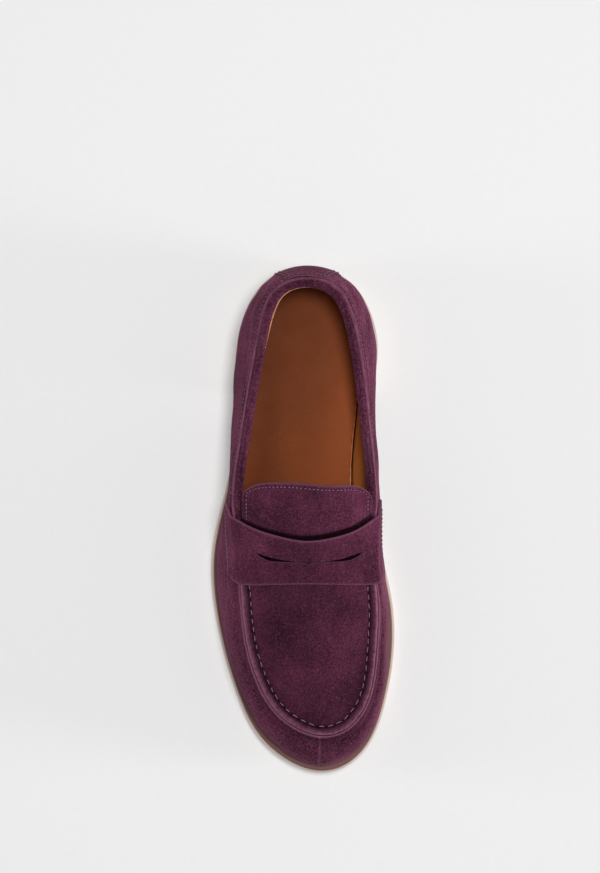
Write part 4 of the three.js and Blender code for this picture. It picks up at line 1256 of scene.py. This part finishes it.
def backstay():
    h = np.concatenate([np.linspace(0.03, 0.88, 50), np.linspace(0.89, 0.95, 8)])[None]
    t = np.linspace(-1, 1, 70)[:, None]
    u = t * backstay_half(h)
    skive = 0.35 + 0.65 * smooth(1 - np.abs(t), 0, 0.2) * np.ones_like(u)
    normal = wall_normals(u, h)
    grids = []
    for depth in (-0.25 - 0.75 * skive, -0.1 + 0 * skive):
        grid = wall(u, h, depth)
        grids.append(grid + normal * (0.2 * ripple(grid, 26, 71))[..., None])
    to_edge = (1 - np.abs(t)) * backstay_half(h) * HEEL_STEP
    tone = 0.45 * hump(to_edge, 0, 0.7) + 0.1 * ripple(grids[0] * BRUSHED, 11, 14)
    # Painted shade: the backstay is darker all over, more towards its top.
    tone = tone - 0.36 - 0.24 * smooth(h, 0.3, 0.7)
    piece = sheet("backstay_suede", grids, ["suede", "edge", "edge"], tone, 0.35)
    finish_piece(piece, ["backstay"])


def backstay_threads():
    h = np.linspace(0.06, 0.87, 90)
    for label, sign in (("lateral", 1), ("medial", -1)):
        rows = []
        for inside, seed in ((0.07, 72), (0.15, 74)):
            u = sign * (backstay_half(h) - inside)
            rows.append(stitches(f"backstay_stitches_{label}", wall(u, h, -0.95),
                                 wall_normals(u, h), FINE_STITCH, "dark_thread", seed=seed + sign))
        finish_piece(join(rows), [f"backstay_thread_{label}"])


def lining_grid(us, s, depth, foot_gap, reach):
    """One face of a lining: s runs from the footbed's edge up to the roll or the upper's top."""
    near = np.minimum(np.abs(us), TURN - us)
    h = s[None] * lerp(0.93, 0.84, smooth(near, 6.1, 6.4))[:, None]
    foot = rim(us, FOOT, foot_gap, lifted(feather, 6.2))[:, None] + UP * (h * 52)[..., None]
    low = smooth(h, -0.12, 0.46)[..., None]
    body = lerp(foot, wall(us[:, None], h, depth), low)
    centre, out = roll_frame(us)
    show = 0.85 * hump(us, 1.45, 0.75) - 0.5
    top = centre - out * (ROLL_HALF + reach + show[:, None]) - UP * 0.2
    high = (smooth(s, 0.72, 1.0)[None] * (1 - behind_to_front(us))[:, None])[..., None]
    return lerp(body, top[:, None] - UP * ((1 - s) * 30)[None, :, None], high)


def lining(node, look, first, last, steps):
    us = np.linspace(first, last, steps)
    s = np.linspace(0, 1, 44)
    grids = [lining_grid(us, s, INSIDE, 4.25, 0.25), lining_grid(us, s, LINING_DEPTH, 3.3, -0.55)]
    # Painted shade along the foot of the lining, in the crevice beside the footbed.
    tone = np.broadcast_to(-1.0 * (1 - smooth(s, 0.03, 0.07))[None], (steps, len(s)))
    material = "canvas" if look == "canvas" else "leather"
    piece = sheet(f"{node}_{material}", grids, [look, look, "lining_edge"], tone, 0.2)
    finish_piece(piece, [node])


def linings():
    lining("heel_lining", "lining", -1.56, 1.56, 120)
    lining("quarter_lining_lateral", "lining", 1.57, 7.95, 200)
    lining("quarter_lining_medial", "lining", 14.05, 20.43, 200)
    lining("vamp_lining", "canvas", 8.0, 14.0, 200)


# ---- Carried-over inner pieces ----
HIDDEN = {
    "cork_filler": "cork", "shank": "steel", "insole_board": "board", "footbed_foam": "foam",
    "collar_foam": "foam", "heel_counter": "board", "toe_puff": "board",
    "interlining_lateral": "canvas", "interlining_medial": "canvas",
}


def dress_hidden():
    for name, look in HIDDEN.items():
        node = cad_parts[name]
        node.data.materials.clear()
        node.data.materials.append(LOOKS[look])


# ---- Stage ----
def floor():
    look = Look("floor_grey")
    base = look.mix(look.clouds(4, 2), (0.67, 0.67, 0.67), (0.68, 0.68, 0.68))
    material = look.finish(base, [], 1.0, Specular_IOR_Level=0.0, Emission_Color=(1, 1, 1, 1),
                           Emission_Strength=0.12)
    mesh = bpy.data.meshes.new("floor")
    half = 6.0
    mesh.from_pydata([(-half, -half, 0), (half, -half, 0), (half, half, 0), (-half, half, 0)], [],
                     [(0, 1, 2, 3)])
    mesh.materials.append(material)
    new_object("floor", mesh)


def area_light(name, place, target, size, power):
    data = bpy.data.lights.new(name, "AREA")
    data.shape = "DISK"
    data.size = size
    data.energy = power
    lamp = new_object(name, data)
    lamp.location = place
    lamp.rotation_euler = (Vector(target) - Vector(place)).to_track_quat("-Z", "Y").to_euler()
    lamp.visible_camera = False


def lights():
    world = bpy.data.worlds.new("studio")
    world.use_nodes = True
    background = world.node_tree.nodes["Background"].inputs
    background["Color"].default_value = (1, 1, 1, 1)
    background["Strength"].default_value = 0.3
    bpy.context.scene.world = world
    area_light("key", (0.17, 0.2, 1.88), (0, 0, 0.03), 0.42, 24.4)
    area_light("right_fill", (2.2, -0.3, 0.2), (0, 0, 0.04), 0.7, 48)
    area_light("left_fill", (-2.2, 0.0, 0.36), (0, 0, 0.04), 0.8, 19)


def camera():
    data = bpy.data.cameras.new("camera")
    data.lens = 103.33
    data.sensor_width = 36.0
    data.clip_end = 50
    eye = new_object("camera", data)
    eye.location = (-0.0018, 0.049, 1.5)
    bpy.context.scene.camera = eye
    bpy.context.scene.view_settings.view_transform = "Standard"


floor()
lights()
camera()
soles()
heel()
footbed()
side("upper_lateral_suede", SEAM, TOE - SEAM, "upper_side_lateral")
side("upper_medial_suede", TOE + SEAM, TURN - SEAM, "upper_side_medial")
apron()
apron_seam()
strap()
strap_threads()
tongue()
tongue_seam()
collar()
collar_seam()
backstay()
backstay_threads()
linings()
dress_hidden()
